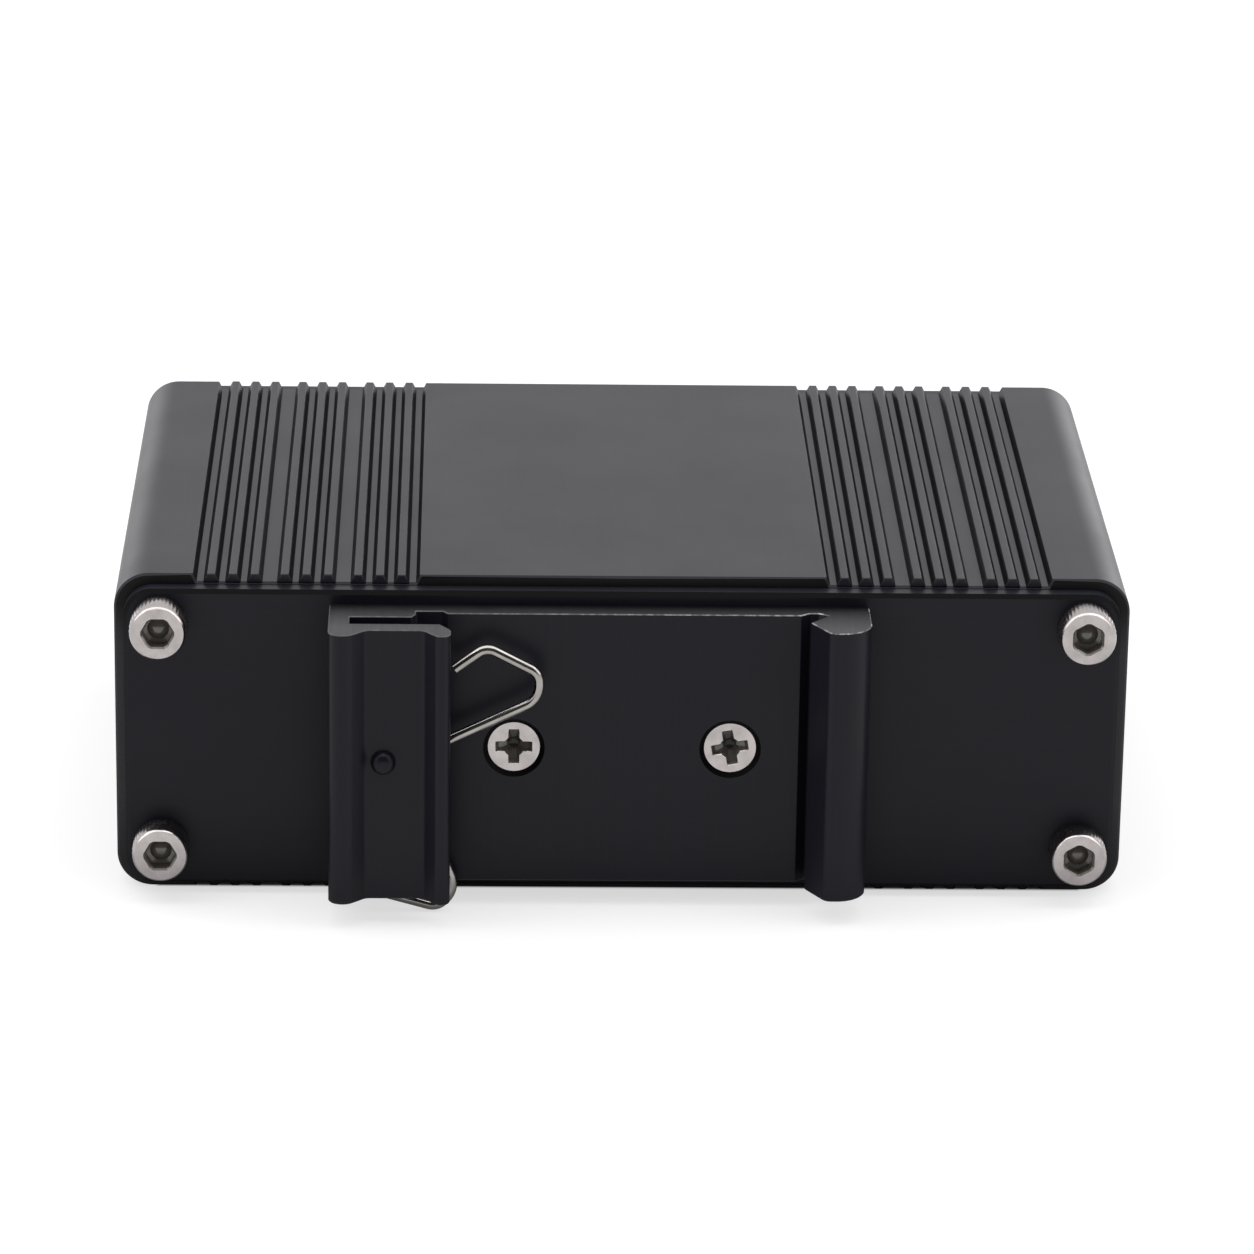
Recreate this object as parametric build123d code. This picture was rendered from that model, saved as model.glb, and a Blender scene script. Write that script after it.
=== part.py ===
from build123d import *
from math import asin, atan2, cos, degrees, hypot, radians, sin
import os

# A splitter box for powered network lines: a ribbed aluminium tube closed by two
# end plates, with a rail clip on one plate and the ports in the other.
# Millimetres. X runs across the box, Y runs from the clip to the ports, Z is up.
# The origin is the middle of the tube's underside.

# Tube
BODY_WIDTH = 94.0
BODY_HEIGHT = 31.0
BODY_LENGTH = 59.0
WALL = 2.2
CORNER_RADIUS = 3.3

# Cooling ribs, in a strip each side of the plain middle, above and below
SIDE_LAND = 7.3
RIB_DEPTH = 0.75
RIB_FOOT = 1.25
RIB_TOP = 0.82
RIB_PITCH = 2.0
RIBS_IN_GROUP = 3
GROUP_COUNT = 3
GROUP_GAP = 2.77
STRIP_EDGE = 1.7

# Screw channels in the tube's corners
SCREW_INSET = 4.25
SCREW_RISE = 4.9
SCREW_FALL = 4.2
CHANNEL_HALF = 2.6
CHANNEL_SLOT = 1.2
THREAD_PLAY = 0.02

# Card slots that hold the board
CARD_SHARE = 0.1875
CARD_RIB_THICK = 1.3
CARD_RIB_DEPTH = 2.2
CARD_PLAY = 0.15

# End plates
PLATE_THICK = 1.8
PLATE_INSET = 0.95
PLATE_CORNER = 2.7

# Cap screws
CAP_THREAD = 3.0
SHANK_SIDES = 12
CAP_LENGTH = 8.0
CAP_HEAD = 5.3
CAP_HEIGHT = 3.0
HEX_SIDES = 6
HEX_ACROSS = 2.5
HEX_DEPTH = 1.5
CLEARANCE_HOLE = 3.4

# Rail clip: an extrusion that stands upright on the plate
CLIP_WIDTH = 49.7
CLIP_OFFSET = -2.2
CLIP_END_GAP = 2.3
CLIP_RAISE = 0.15
CLIP_BASE = 2.5
LIP_SEAT = 3.5
LIP_BACK_LENGTH = 7.6
LIP_LENGTH = 11.2
LIP_THICK = 1.7
BEAD_HEIGHT = 1.75
BEAD_CREST = 1.7
BEAD_FOOT = 3.5
BEAD_ROUND = 1.2
CREST_ROUND = 1.4
FOOT_ROUND = 0.9
NOSE_FOOT = 2.8
NOSE_CREST = 1.3
NOSE_DIP = 0.2
NOSE_UNDERCUT = 1.0
SLOT_END = 1.9
CLIP_GROOVE = 0.6
GROOVE_EDGE = 0.35
GROOVE_STEP = 0.8
HOOK_ROOT = 3.8
HOOK_TIP = 5.55
HOOK_FRONT = 7.4
HOOK_BEND = 1.0
HOOK_BELLY = 2.7
NOTCH_RISE = 1.9
NOTCH_LAND = 0.9
EDGE_ROUND = 0.5
SMALL_ROUND = 0.3

# Countersunk screws that hold the clip
CLIP_SCREW_SPACING = 20.0
CLIP_SCREW_HEAD = 4.9
CLIP_SCREW_LENGTH = 6.0
CLIP_SCREW_TURNS = (0, 10)
COUNTERSINK = 5.7
CROSS_WIDTH = 1.0
CROSS_LENGTH = 3.3
CROSS_DEPTH = 1.3
CROSS_TAPER = 14
SEAT_PLAY = 0.02

# Spring pin
PIN_INSET = 5.05
PIN_RISE = 0.3
PIN_DIAMETER = 1.6
PIN_HEAD = 2.3
PIN_HEAD_HEIGHT = 0.95
PIN_END_GAP = 0.2

# Wire spring: a wrap round the pin, and two mirrored loops
WIRE = 0.9
WIRE_SIDES = 8
WRAP_PLAY = 0.05
LAYER_PLAY = 0.04
SLOT_PLAY = 0.05
SPRING_TURN = -21.5
BEND_RADIUS = 1.4
LOOP_KNEE = (11.35, 10.38)
LOOP_CROWN = (10.28, 12.65)
LOOP_SHOULDER = (4.90, 13.21)
LOOP_END = (3.01, 10.19)
RAMP = 0.6
RAMP_RADIUS = 5.0

# Circuit board
BOARD_THICK = 1.6
BOARD_SIDE_GAP = 0.25
BOARD_END_GAP = 0.4
LEAD_HOLE_PLAY = 0.15
LEAD_BELOW = 1.2

# Network jacks
JACK_SHARES = {"poe_in": 0.5213, "data_out": 0.0957}
JACK_WIDTH = 15.9
JACK_HEIGHT = 13.3
JACK_DEPTH = 21.2
JACK_PROUD = 0.6
SHIELD_THICK = 0.25
WINDOW_PLAY = 0.3
PLUG_WIDTH = 11.8
PLUG_HEIGHT = 6.9
PLUG_DEPTH = 13.0
PLUG_SILL = 3.9
LATCH_WIDTH = 6.2
LATCH_HEIGHT = 1.6
LATCH_NOSE_WIDTH = 3.6
LATCH_NOSE_HEIGHT = 0.9
CONTACT_COUNT = 8
CONTACT_PITCH = 1.02
CONTACT_WIDTH = 0.45
CONTACT_THICK = 0.3
CONTACT_DROP = 2.45
CONTACT_SET_BACK = 2.4
CONTACT_REACH = 8.4
CONTACT_ROOF = 1.0
CONTACT_BEND = (0.5, 1.1)
PIN_ROW_DEPTH = 17.0
PIN_ROW_STEP = 2.54
TAB_SET_BACK = 13.0
TAB_LENGTH = 1.2
CUTOUT_PLAY = 0.2

# Power output header
HEADER_SHARE = -0.5957
HEADER_WIDTH = 12.6
HEADER_HEIGHT = 8.6
HEADER_DEPTH = 12.0
HEADER_WALL = 1.0
HEADER_MOUTH_DEPTH = 8.6
TERMINAL_PITCH = 5.08
TERMINAL_PIN = 1.0
TERMINAL_INSET = 1.5
KEYWAY_WIDTH = 1.6
KEYWAY_FLOOR = 0.4

# Indicator lamps
LAMP_SHARES = (-0.3298, -0.2021)
LAMP_DIAMETER = 3.0
LAMP_FLANGE = 3.8
LAMP_LENGTH = 5.3
LAMP_HEIGHT = 3.6
LAMP_PROUD = 0.9
LAMP_LEAD = 0.5
LAMP_LEAD_PITCH = 2.54
LAMP_LEAD_BACK = 1.2

# Parts on the board. Those of the front row stand side by side with equal gaps,
# and all of them keep clear of the ribs that hold the board's edges.
CHIP_GAP = 0.02
PART_GAP = 0.5
TRANSFORMER_SIZE = 20.0
TRANSFORMER_HEIGHT = 13.0
TRANSFORMER_LIFT = 1.0
CORE_LEG = 7.0
CORE_WALL = 3.2
BOBBIN_WALL = 0.8
WINDING_SIZE = 11.0
WINDING_ROUND = 1.5
MAGNETICS_SIZE = (7.1, 12.7, 5.6)
MAGNETICS_LEADS_PER_SIDE = 8
MAGNETICS_LEAD_PITCH = 1.27
MAGNETICS_LEAD_LEVEL = 2.0
MAGNETICS_LEAD_REACH = 1.6
LEAD_WIDTH = 0.4
LEAD_THICK = 0.2
STAND_OFF = 0.2
CAN_RADIUS = 5.0
CAN_HEIGHT = 12.5
CAN_GAP = 1.2
CAN_BACK = 1.0
INPUT_CAN_RADIUS = 4.0
INPUT_CAN_BACK = 3.0
INDUCTOR_SIZE = 10.0
INDUCTOR_HEIGHT = 6.0
INDUCTOR_CORNER = 1.2
INDUCTOR_BACK = -3.0
BRIDGE_SIZE = (6.2, 8.4, 2.6)
BRIDGE_SET_BACK = (13.1, 25.1)
CONTROLLER_SIZE = (4.4, 5.0, 1.0)
CONTROLLER_BACK = 5.0
SWITCH_SIZE = (6.0, 6.4, 2.2)
SWITCH_BACK = -3.0
RECTIFIER_SIZE = (7.9, 5.9, 2.4)
RECTIFIER_BACK = 9.5
COUPLER_SIZE = (4.4, 3.6, 2.1)
COUPLER_OFFSET = 13.5
COUPLER_BACK = 19.8
SAFETY_OFFSET = 10.5
SAFETY_BACK = 14.3
SAFETY_RADIUS = 4.0
SAFETY_THICK = 3.2
SUPPRESSOR_SIZE = (4.6, 3.6, 2.3)
SUPPRESSOR_SET_BACK = 33.1
PACKAGE_BEVEL = 0.08
CHIP_SIZE = (0.8, 1.6, 0.5)
CHIP_PITCH = 2.4
CHIP_SET_BACK = (7.9, 11.9)
CHIP_COLUMNS = 6
CHIP_OFFSET = -5.0

# Places worked out from the sizes above
FRONT = -BODY_LENGTH / 2
BACK = BODY_LENGTH / 2
CLIP_BACK = FRONT - PLATE_THICK
PORT_FACE = BACK + PLATE_THICK
INNER_X = BODY_WIDTH / 2 - WALL
INNER_TOP = BODY_HEIGHT - WALL
SCREW_X = BODY_WIDTH / 2 - SCREW_INSET
SCREW_LEVELS = (SCREW_RISE, BODY_HEIGHT - SCREW_FALL)
SCREW_PLACES = [(side * SCREW_X, level) for level in SCREW_LEVELS for side in (-1, 1)]
CHANNEL_TOP = SCREW_RISE + CHANNEL_HALF
SPARE_HEIGHT = INNER_TOP - CHANNEL_TOP - BOARD_THICK - JACK_HEIGHT
CARD_LEVEL = CHANNEL_TOP + CARD_SHARE * SPARE_HEIGHT
BOARD_TOP = CARD_LEVEL + BOARD_THICK
BOARD_HALF = INNER_X - BOARD_SIDE_GAP
CLEAR_HALF = INNER_X - CARD_RIB_DEPTH
BOARD_FRONT = FRONT + BOARD_END_GAP
BOARD_BACK = BACK - BOARD_END_GAP
JACK_FACE = PORT_FACE + JACK_PROUD
JACK_BACK = JACK_FACE - JACK_DEPTH
JACK_X = {name: share * BODY_WIDTH / 2 for name, share in JACK_SHARES.items()}
HEADER_X = HEADER_SHARE * BODY_WIDTH / 2
LAMP_X = [share * BODY_WIDTH / 2 for share in LAMP_SHARES]
CLIP_LEFT = CLIP_OFFSET - CLIP_WIDTH / 2
CLIP_LENGTH = BODY_HEIGHT - 2 * CLIP_END_GAP
CLIP_MIDDLE = BODY_HEIGHT / 2 + CLIP_RAISE
PIN_X = CLIP_LEFT + PIN_INSET
PIN_Z = CLIP_MIDDLE + PIN_RISE
LAYER_STEP = WIRE + LAYER_PLAY
SLOT_THICK = WIRE + LAYER_STEP + 2 * SLOT_PLAY
LIP_BACK = LIP_SEAT + SLOT_THICK
LIP_FRONT = LIP_BACK + LIP_THICK
WRAP_RADIUS = PIN_DIAMETER / 2 + WRAP_PLAY + WIRE / 2
MAGNETICS_Y = JACK_BACK - PART_GAP - MAGNETICS_SIZE[1] / 2
ROW_Y = (BOARD_FRONT + MAGNETICS_Y - MAGNETICS_SIZE[1] / 2) / 2
ROW = (2 * CAN_RADIUS, INDUCTOR_SIZE, TRANSFORMER_SIZE, SWITCH_SIZE[0], SWITCH_SIZE[0], 2 * INPUT_CAN_RADIUS)
ROW_GAP = (2 * CLEAR_HALF - sum(ROW)) / (len(ROW) + 1)
ROW_X = [sum(ROW[:k]) + ROW[k] / 2 + (k + 1) * ROW_GAP - CLEAR_HALF for k in range(len(ROW))]
CAN_X, INDUCTOR_X, TRANSFORMER_X, SWITCH_LEFT_X, SWITCH_RIGHT_X, INPUT_CAN_X = ROW_X
SIDE_X = (JACK_X["poe_in"] + JACK_WIDTH / 2 + CLEAR_HALF) / 2


def block(x, y, z):
    """A box between two limits along each axis."""
    size = Box(x[1] - x[0], y[1] - y[0], z[1] - z[0])
    return Pos((x[0] + x[1]) / 2, (y[0] + y[1]) / 2, (z[0] + z[1]) / 2) * size


def lying(x, z, y, radius):
    """A round bar that lies along Y."""
    return Pos(x, (y[0] + y[1]) / 2, z) * Rot(90, 0, 0) * Cylinder(radius, y[1] - y[0])


def along_y(section, y):
    """A section drawn in X and Z, drawn out between two places along Y."""
    face = Plane(origin=(0, y[1], 0), x_dir=(1, 0, 0), z_dir=(0, -1, 0))
    return extrude(face * section, amount=y[1] - y[0])


def rounded(width, height, radius, middle):
    """A rounded rectangle in X and Z, centred on X and at a middle height."""
    return Pos(0, middle) * RectangleRounded(width, height, radius)


def ribbon(line, half):
    """The outline of a strip of even thickness that follows a bent line."""
    points = [Vector(*point) for point in line]
    ahead = [(b - a).normalized() for a, b in zip(points, points[1:])]
    ahead = [ahead[0], *ahead, ahead[-1]]
    left = []
    right = []
    for point, before, after in zip(points, ahead, ahead[1:]):
        middle = (before + after).normalized()
        across = Vector(-middle.Y, middle.X) * (half / middle.dot(before))
        left.append(point + across)
        right.append(point - across)
    return make_face(Polyline(*left, *reversed(right), close=True))


def rib_centres():
    """Rib places on the right-hand strip, measured from the middle of the tube."""
    centre = BODY_WIDTH / 2 - SIDE_LAND - STRIP_EDGE
    places = []
    for group in range(GROUP_COUNT):
        for rib in range(RIBS_IN_GROUP):
            places.append(centre - rib * RIB_PITCH)
        centre = places[-1] - GROUP_GAP
    return places


def rib_strip(side, level, outwards):
    """The recess of one strip, with its ribs left standing."""
    centres = rib_centres()
    outer = BODY_WIDTH / 2 - SIDE_LAND
    inner = centres[-1] - STRIP_EDGE
    floor = level - outwards * RIB_DEPTH
    recess = Pos(side * (outer + inner) / 2, (floor + level) / 2) * Rectangle(outer - inner, RIB_DEPTH)
    for centre in centres:
        x = side * centre
        rib = make_face(Polyline(
            (x - RIB_FOOT / 2, floor),
            (x + RIB_FOOT / 2, floor),
            (x + RIB_TOP / 2, level),
            (x - RIB_TOP / 2, level),
            close=True,
        ))
        recess -= rib
    return recess


def card_ribs(level):
    """Two ribs on each side wall, with the board's slot between them."""
    slot_low = level - CARD_PLAY
    slot_high = level + BOARD_THICK + CARD_PLAY
    ribs = Sketch()
    for side in (-1, 1):
        x = side * (INNER_X - CARD_RIB_DEPTH / 2)
        for z in (slot_low - CARD_RIB_THICK / 2, slot_high + CARD_RIB_THICK / 2):
            ribs += Pos(x, z) * Rectangle(CARD_RIB_DEPTH, CARD_RIB_THICK)
    return ribs


def body_extrusion():
    middle = BODY_HEIGHT / 2
    section = rounded(BODY_WIDTH, BODY_HEIGHT, CORNER_RADIUS, middle)
    for side in (-1, 1):
        section -= rib_strip(side, BODY_HEIGHT, 1)
        section -= rib_strip(side, 0, -1)
    cavity = Pos(0, middle) * Rectangle(BODY_WIDTH - 2 * WALL, BODY_HEIGHT - 2 * WALL)
    cavity -= card_ribs(CARD_LEVEL)
    cavity -= card_ribs(BODY_HEIGHT - CARD_LEVEL - BOARD_THICK)
    for x, z in SCREW_PLACES:
        side = 1 if x > 0 else -1
        wall_z = WALL if z < middle else INNER_TOP
        cavity -= Pos(x, z) * Rectangle(2 * CHANNEL_HALF, 2 * CHANNEL_HALF)
        corner_width = INNER_X - abs(x)
        corner = Rectangle(corner_width, abs(z - wall_z))
        cavity -= Pos(x + side * corner_width / 2, (z + wall_z) / 2) * corner
    section -= cavity
    for x, z in SCREW_PLACES:
        side = 1 if x > 0 else -1
        section -= Pos(x, z) * Circle(CAP_THREAD / 2 + THREAD_PLAY)
        section -= Pos(x - side * CHANNEL_HALF, z) * Rectangle(2 * CHANNEL_HALF, CHANNEL_SLOT)
    return along_y(section, (FRONT, BACK))


def plate_blank(y):
    """An end plate with its corner screw holes."""
    outline = rounded(
        BODY_WIDTH - 2 * PLATE_INSET, BODY_HEIGHT - 2 * PLATE_INSET, PLATE_CORNER, BODY_HEIGHT / 2
    )
    for x, z in SCREW_PLACES:
        outline -= Pos(x, z) * Circle(CLEARANCE_HOLE / 2)
    return along_y(outline, y)


def clip_screw_places():
    return [(side * CLIP_SCREW_SPACING / 2, CLIP_MIDDLE) for side in (-1, 1)]


def clip_side_plate():
    plate = plate_blank((CLIP_BACK, FRONT))
    for x, z in clip_screw_places():
        plate -= lying(x, z, (CLIP_BACK - 1, FRONT + 1), CAP_THREAD / 2 + THREAD_PLAY)
    return plate


def port_side_plate():
    plate = plate_blank((BACK, PORT_FACE))
    cut = (BACK - 1, PORT_FACE + 1)
    half_jack = JACK_WIDTH / 2 + CUTOUT_PLAY
    for x in JACK_X.values():
        plate -= block((x - half_jack, x + half_jack), cut,
                       (BOARD_TOP - CUTOUT_PLAY, BOARD_TOP + JACK_HEIGHT + CUTOUT_PLAY))
    half_header = HEADER_WIDTH / 2 + CUTOUT_PLAY
    plate -= block((HEADER_X - half_header, HEADER_X + half_header), cut,
                   (BOARD_TOP - CUTOUT_PLAY, BOARD_TOP + HEADER_HEIGHT + CUTOUT_PLAY))
    for x in LAMP_X:
        plate -= lying(x, BOARD_TOP + LAMP_HEIGHT, cut, LAMP_DIAMETER / 2 + CUTOUT_PLAY)
    return plate


def cap_screw(x, z, face, outwards, corner_up):
    """A socket-head screw seated on a plate face, its thread drawn as a flat-sided shank.

    outwards is -1 or 1 along Y.
    """
    head = Cylinder(CAP_HEAD / 2, CAP_HEIGHT, align=(Align.CENTER, Align.CENTER, Align.MIN))
    shank = extrude(RegularPolygon(CAP_THREAD / 2, SHANK_SIDES), -CAP_LENGTH)
    turn = 180 / HEX_SIDES * corner_up
    hexagon = RegularPolygon(HEX_ACROSS / 2, HEX_SIDES, major_radius=False, rotation=turn)
    socket = extrude(hexagon, HEX_DEPTH)
    screw = head + shank - Pos(0, 0, CAP_HEIGHT - HEX_DEPTH) * socket
    seat = Plane(origin=(x, face, z), x_dir=(1, 0, 0), z_dir=(0, outwards, 0))
    return seat * screw


def cap_screws(face, outwards):
    """Four screws. The photographed ones stop with their sockets turned two ways."""
    return [cap_screw(x, z, face, outwards, x > 0) for x, z in SCREW_PLACES]


def clip_section():
    """The clip's section: X from its left side, and how far it stands off the plate."""
    groove_floor = CLIP_BASE - CLIP_GROOVE
    groove_left = LIP_BACK_LENGTH + GROOVE_EDGE
    bead = LIP_FRONT + BEAD_HEIGHT
    hook_left = CLIP_WIDTH - HOOK_TIP
    root_x = CLIP_WIDTH - HOOK_ROOT
    corners = [
        ((0, 0), EDGE_ROUND),
        ((0, bead - EDGE_ROUND), BEAD_ROUND),
        ((BEAD_CREST, bead), CREST_ROUND),
        ((BEAD_FOOT, LIP_FRONT), FOOT_ROUND),
        ((LIP_LENGTH - NOSE_FOOT, LIP_FRONT), FOOT_ROUND),
        ((LIP_LENGTH - NOSE_CREST, bead), EDGE_ROUND),
        ((LIP_LENGTH, bead - NOSE_DIP), FOOT_ROUND),
        ((LIP_LENGTH, LIP_FRONT - NOSE_DIP), FOOT_ROUND),
        ((LIP_LENGTH - NOSE_UNDERCUT, LIP_BACK), SMALL_ROUND),
        ((SLOT_END, LIP_BACK), 0),
        ((SLOT_END, LIP_SEAT), 0),
        ((LIP_BACK_LENGTH, LIP_SEAT), 0),
        ((groove_left, LIP_SEAT - GROOVE_STEP), 0),
        ((groove_left, groove_floor), 0),
        ((LIP_LENGTH - 2 * GROOVE_EDGE, groove_floor), 0),
        ((LIP_LENGTH - GROOVE_EDGE, CLIP_BASE), 0),
        ((hook_left - GROOVE_STEP, CLIP_BASE), 0),
        ((hook_left, groove_floor), SMALL_ROUND),
        ((root_x - NOTCH_LAND, groove_floor), SMALL_ROUND),
        ((root_x, CLIP_BASE), 0),
        ((hook_left, CLIP_BASE + NOTCH_RISE), 0),
        ((root_x, HOOK_FRONT), HOOK_BEND),
        ((CLIP_WIDTH, HOOK_FRONT), HOOK_BELLY),
        ((CLIP_WIDTH, 0), EDGE_ROUND),
    ]
    face = make_face(Polyline([point for point, radius in corners], close=True))
    for point, radius in corners:
        if radius:
            corner = face.vertices().sort_by_distance(Vector(*point))[0]
            face = fillet(corner, radius)
    return face


def din_clip():
    low = CLIP_MIDDLE - CLIP_LENGTH / 2
    stand = Plane(origin=(CLIP_LEFT, CLIP_BACK, low), x_dir=(1, 0, 0), z_dir=(0, 0, 1))
    profile = mirror(clip_section(), about=Plane.XZ)
    clip = extrude(stand * profile, amount=CLIP_LENGTH)
    for x, z in clip_screw_places():
        hole_radius = CAP_THREAD / 2 + CUTOUT_PLAY
        hole = Cylinder(hole_radius, 4 * CLIP_BASE)
        sink_depth = COUNTERSINK / 2 - hole_radius
        sink = Pos(0, 0, CLIP_BASE - sink_depth / 2) * Cone(hole_radius, COUNTERSINK / 2, sink_depth)
        seat = Plane(origin=(x, CLIP_BACK, z), x_dir=(1, 0, 0), z_dir=(0, -1, 0))
        clip -= seat * (hole + sink)
    pin_hole = PIN_DIAMETER / 2 + THREAD_PLAY
    clip -= lying(PIN_X, PIN_Z, (CLIP_BACK - 2 * LIP_FRONT, CLIP_BACK + 1), pin_hole)
    return clip


def countersunk_screw(x, z, turn):
    """A flat-head screw whose face sits a little below the clip's face."""
    sunk = (COUNTERSINK - CLIP_SCREW_HEAD) / 2 - SEAT_PLAY
    face = CLIP_BASE - sunk
    cone_height = (CLIP_SCREW_HEAD - CAP_THREAD) / 2
    hung = (Align.CENTER, Align.CENTER, Align.MAX)
    cone = Cone(CAP_THREAD / 2, CLIP_SCREW_HEAD / 2, cone_height, align=hung)
    shank = Cylinder(CAP_THREAD / 2, CLIP_SCREW_LENGTH - cone_height, align=hung)
    arm = extrude(Rectangle(CROSS_LENGTH, CROSS_WIDTH), -CROSS_DEPTH, taper=CROSS_TAPER)
    cross = Rot(0, 0, turn) * (arm + Rot(0, 0, 90) * arm)
    screw = cone + Pos(0, 0, -cone_height) * shank - cross
    seat = Plane(origin=(x, CLIP_BACK - face, z), x_dir=(1, 0, 0), z_dir=(0, -1, 0))
    return seat * screw


def clip_screws():
    """The photographed pair stop with their crosses turned differently."""
    return [countersunk_screw(x, z, turn) for (x, z), turn in zip(clip_screw_places(), CLIP_SCREW_TURNS)]


def spring_pin():
    head_face = CLIP_BACK - LIP_FRONT
    shank = lying(PIN_X, PIN_Z, (head_face, CLIP_BACK - PIN_END_GAP), PIN_DIAMETER / 2)
    head = Cylinder(PIN_HEAD / 2, PIN_HEAD_HEIGHT, align=(Align.CENTER, Align.CENTER, Align.MIN))
    seat = Plane(origin=(PIN_X, head_face, PIN_Z), x_dir=(1, 0, 0), z_dir=(0, -1, 0))
    return shank + seat * head


def spring_path():
    """One line from free end to free end, in the spring's own frame."""
    reach = hypot(*LOOP_KNEE)
    heading = degrees(atan2(LOOP_KNEE[1], LOOP_KNEE[0]) + asin(WRAP_RADIUS / reach))
    start = 90 - heading
    wrap = 360 - 2 * start
    turn_length = WRAP_RADIUS * radians(wrap)
    layer = LAYER_STEP / 2
    wrap_rise = layer / (1 + 2 * RAMP / turn_length)
    pitch = 2 * wrap_rise * 360 / wrap
    wrap_line = Helix(pitch, 2 * wrap_rise, WRAP_RADIUS)
    wrap_line = Pos(0, 0, -wrap_rise) * Rot(0, 0, start) * wrap_line
    ahead = (cos(radians(heading)), sin(radians(heading)))
    touch = (WRAP_RADIUS * ahead[1], -WRAP_RADIUS * ahead[0])
    ramp_end = (touch[0] + RAMP * ahead[0], touch[1] + RAMP * ahead[1])
    radii = [RAMP_RADIUS, BEND_RADIUS, BEND_RADIUS, BEND_RADIUS]
    upper = [
        (touch[0], touch[1], wrap_rise),
        (ramp_end[0], ramp_end[1], layer),
        (*LOOP_KNEE, layer),
        (*LOOP_CROWN, layer),
        (*LOOP_SHOULDER, layer),
        (*LOOP_END, layer),
    ]
    lower = [(x, -y, -z) for x, y, z in upper]
    lines = [FilletPolyline(*lower, radius=radii), wrap_line, FilletPolyline(*upper, radius=radii)]
    return Wire([edge for line in lines for edge in line.edges()])


def wire_spring():
    """The wire. Its round section is drawn with flat sides."""
    path = spring_path()
    section = Plane(origin=path @ 0, z_dir=path % 0) * RegularPolygon(WIRE / 2, WIRE_SIDES)
    middle = CLIP_BACK - LIP_SEAT - SLOT_THICK / 2
    turned = (cos(radians(SPRING_TURN)), 0, sin(radians(SPRING_TURN)))
    frame = Plane(origin=(PIN_X, middle, PIN_Z), x_dir=turned, z_dir=(0, -1, 0))
    return frame * sweep(section, path=path)


def jack_pin_places(x):
    """Two staggered rows of contact tails behind the plug cavity."""
    first = x - (CONTACT_COUNT - 1) / 2 * CONTACT_PITCH
    row = JACK_FACE - PIN_ROW_DEPTH
    return [(first + k * CONTACT_PITCH, row + (k % 2) * PIN_ROW_STEP) for k in range(CONTACT_COUNT)]


def shield_tabs(x):
    """Where the shield's two tabs pass through the board."""
    return [(x + side * (JACK_WIDTH - SHIELD_THICK) / 2, JACK_FACE - TAB_SET_BACK) for side in (-1, 1)]


def contact(x, y, grow=0.0):
    """One bent contact: a tail, a run along the roof, and a sloping free end."""
    ceiling = BOARD_TOP + PLUG_SILL + PLUG_HEIGHT
    roof = ceiling + CONTACT_ROOF
    bend = JACK_FACE - CONTACT_SET_BACK
    line = [
        (y, CARD_LEVEL - LEAD_BELOW),
        (y, roof),
        (bend, roof),
        (bend - CONTACT_BEND[0], roof - CONTACT_BEND[1]),
        (bend - CONTACT_REACH, ceiling - CONTACT_DROP),
    ]
    outline = ribbon(line, CONTACT_THICK / 2 + grow)
    side_face = Plane(origin=(x - CONTACT_WIDTH / 2 - grow, 0, 0), x_dir=(0, 1, 0), z_dir=(1, 0, 0))
    return extrude(side_face * outline, amount=CONTACT_WIDTH + 2 * grow)


def jack_contacts(x):
    return [contact(place, row) for place, row in jack_pin_places(x)]


def plug_outline(x, grow=0.0):
    """The plug's opening: a wide window over the latch's stepped recess."""
    sill = BOARD_TOP + PLUG_SILL
    outline = Pos(x, sill + PLUG_HEIGHT / 2) * Rectangle(PLUG_WIDTH + grow, PLUG_HEIGHT + grow)
    outline += Pos(x, sill - LATCH_HEIGHT / 2) * Rectangle(LATCH_WIDTH + grow, LATCH_HEIGHT + grow)
    nose = sill - LATCH_HEIGHT - LATCH_NOSE_HEIGHT / 2
    return outline + Pos(x, nose) * Rectangle(LATCH_NOSE_WIDTH + grow, LATCH_NOSE_HEIGHT + grow)


def jack_housing(x):
    """The moulded insert that fills the shield and guides the plug."""
    skin = SHIELD_THICK + CHIP_GAP
    half = JACK_WIDTH / 2 - skin
    body = block((x - half, x + half), (JACK_BACK + skin, JACK_FACE - skin),
                 (BOARD_TOP, BOARD_TOP + JACK_HEIGHT - skin))
    body -= along_y(plug_outline(x), (JACK_FACE - PLUG_DEPTH, JACK_FACE + 1))
    for place, row in jack_pin_places(x):
        body -= contact(place, row, CHIP_GAP)
    return body


def jack_shield(x):
    """A folded metal cover, open below, with a window for the plug and two board tabs."""
    half = JACK_WIDTH / 2
    outside = block((x - half, x + half), (JACK_BACK, JACK_FACE),
                    (BOARD_TOP, BOARD_TOP + JACK_HEIGHT))
    inside = block((x - half + SHIELD_THICK, x + half - SHIELD_THICK),
                   (JACK_BACK + SHIELD_THICK, JACK_FACE - SHIELD_THICK),
                   (BOARD_TOP - 1, BOARD_TOP + JACK_HEIGHT - SHIELD_THICK))
    shield = outside - inside - along_y(plug_outline(x, WINDOW_PLAY), (JACK_FACE - 1, JACK_FACE + 1))
    for tab_x, tab_y in shield_tabs(x):
        half_tab = SHIELD_THICK / 2
        half_length = TAB_LENGTH / 2
        shield += block((tab_x - half_tab, tab_x + half_tab), (tab_y - half_length, tab_y + half_length),
                        (CARD_LEVEL - LEAD_BELOW, BOARD_TOP + 1))
    return shield


def header_front():
    return PORT_FACE + JACK_PROUD


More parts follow.
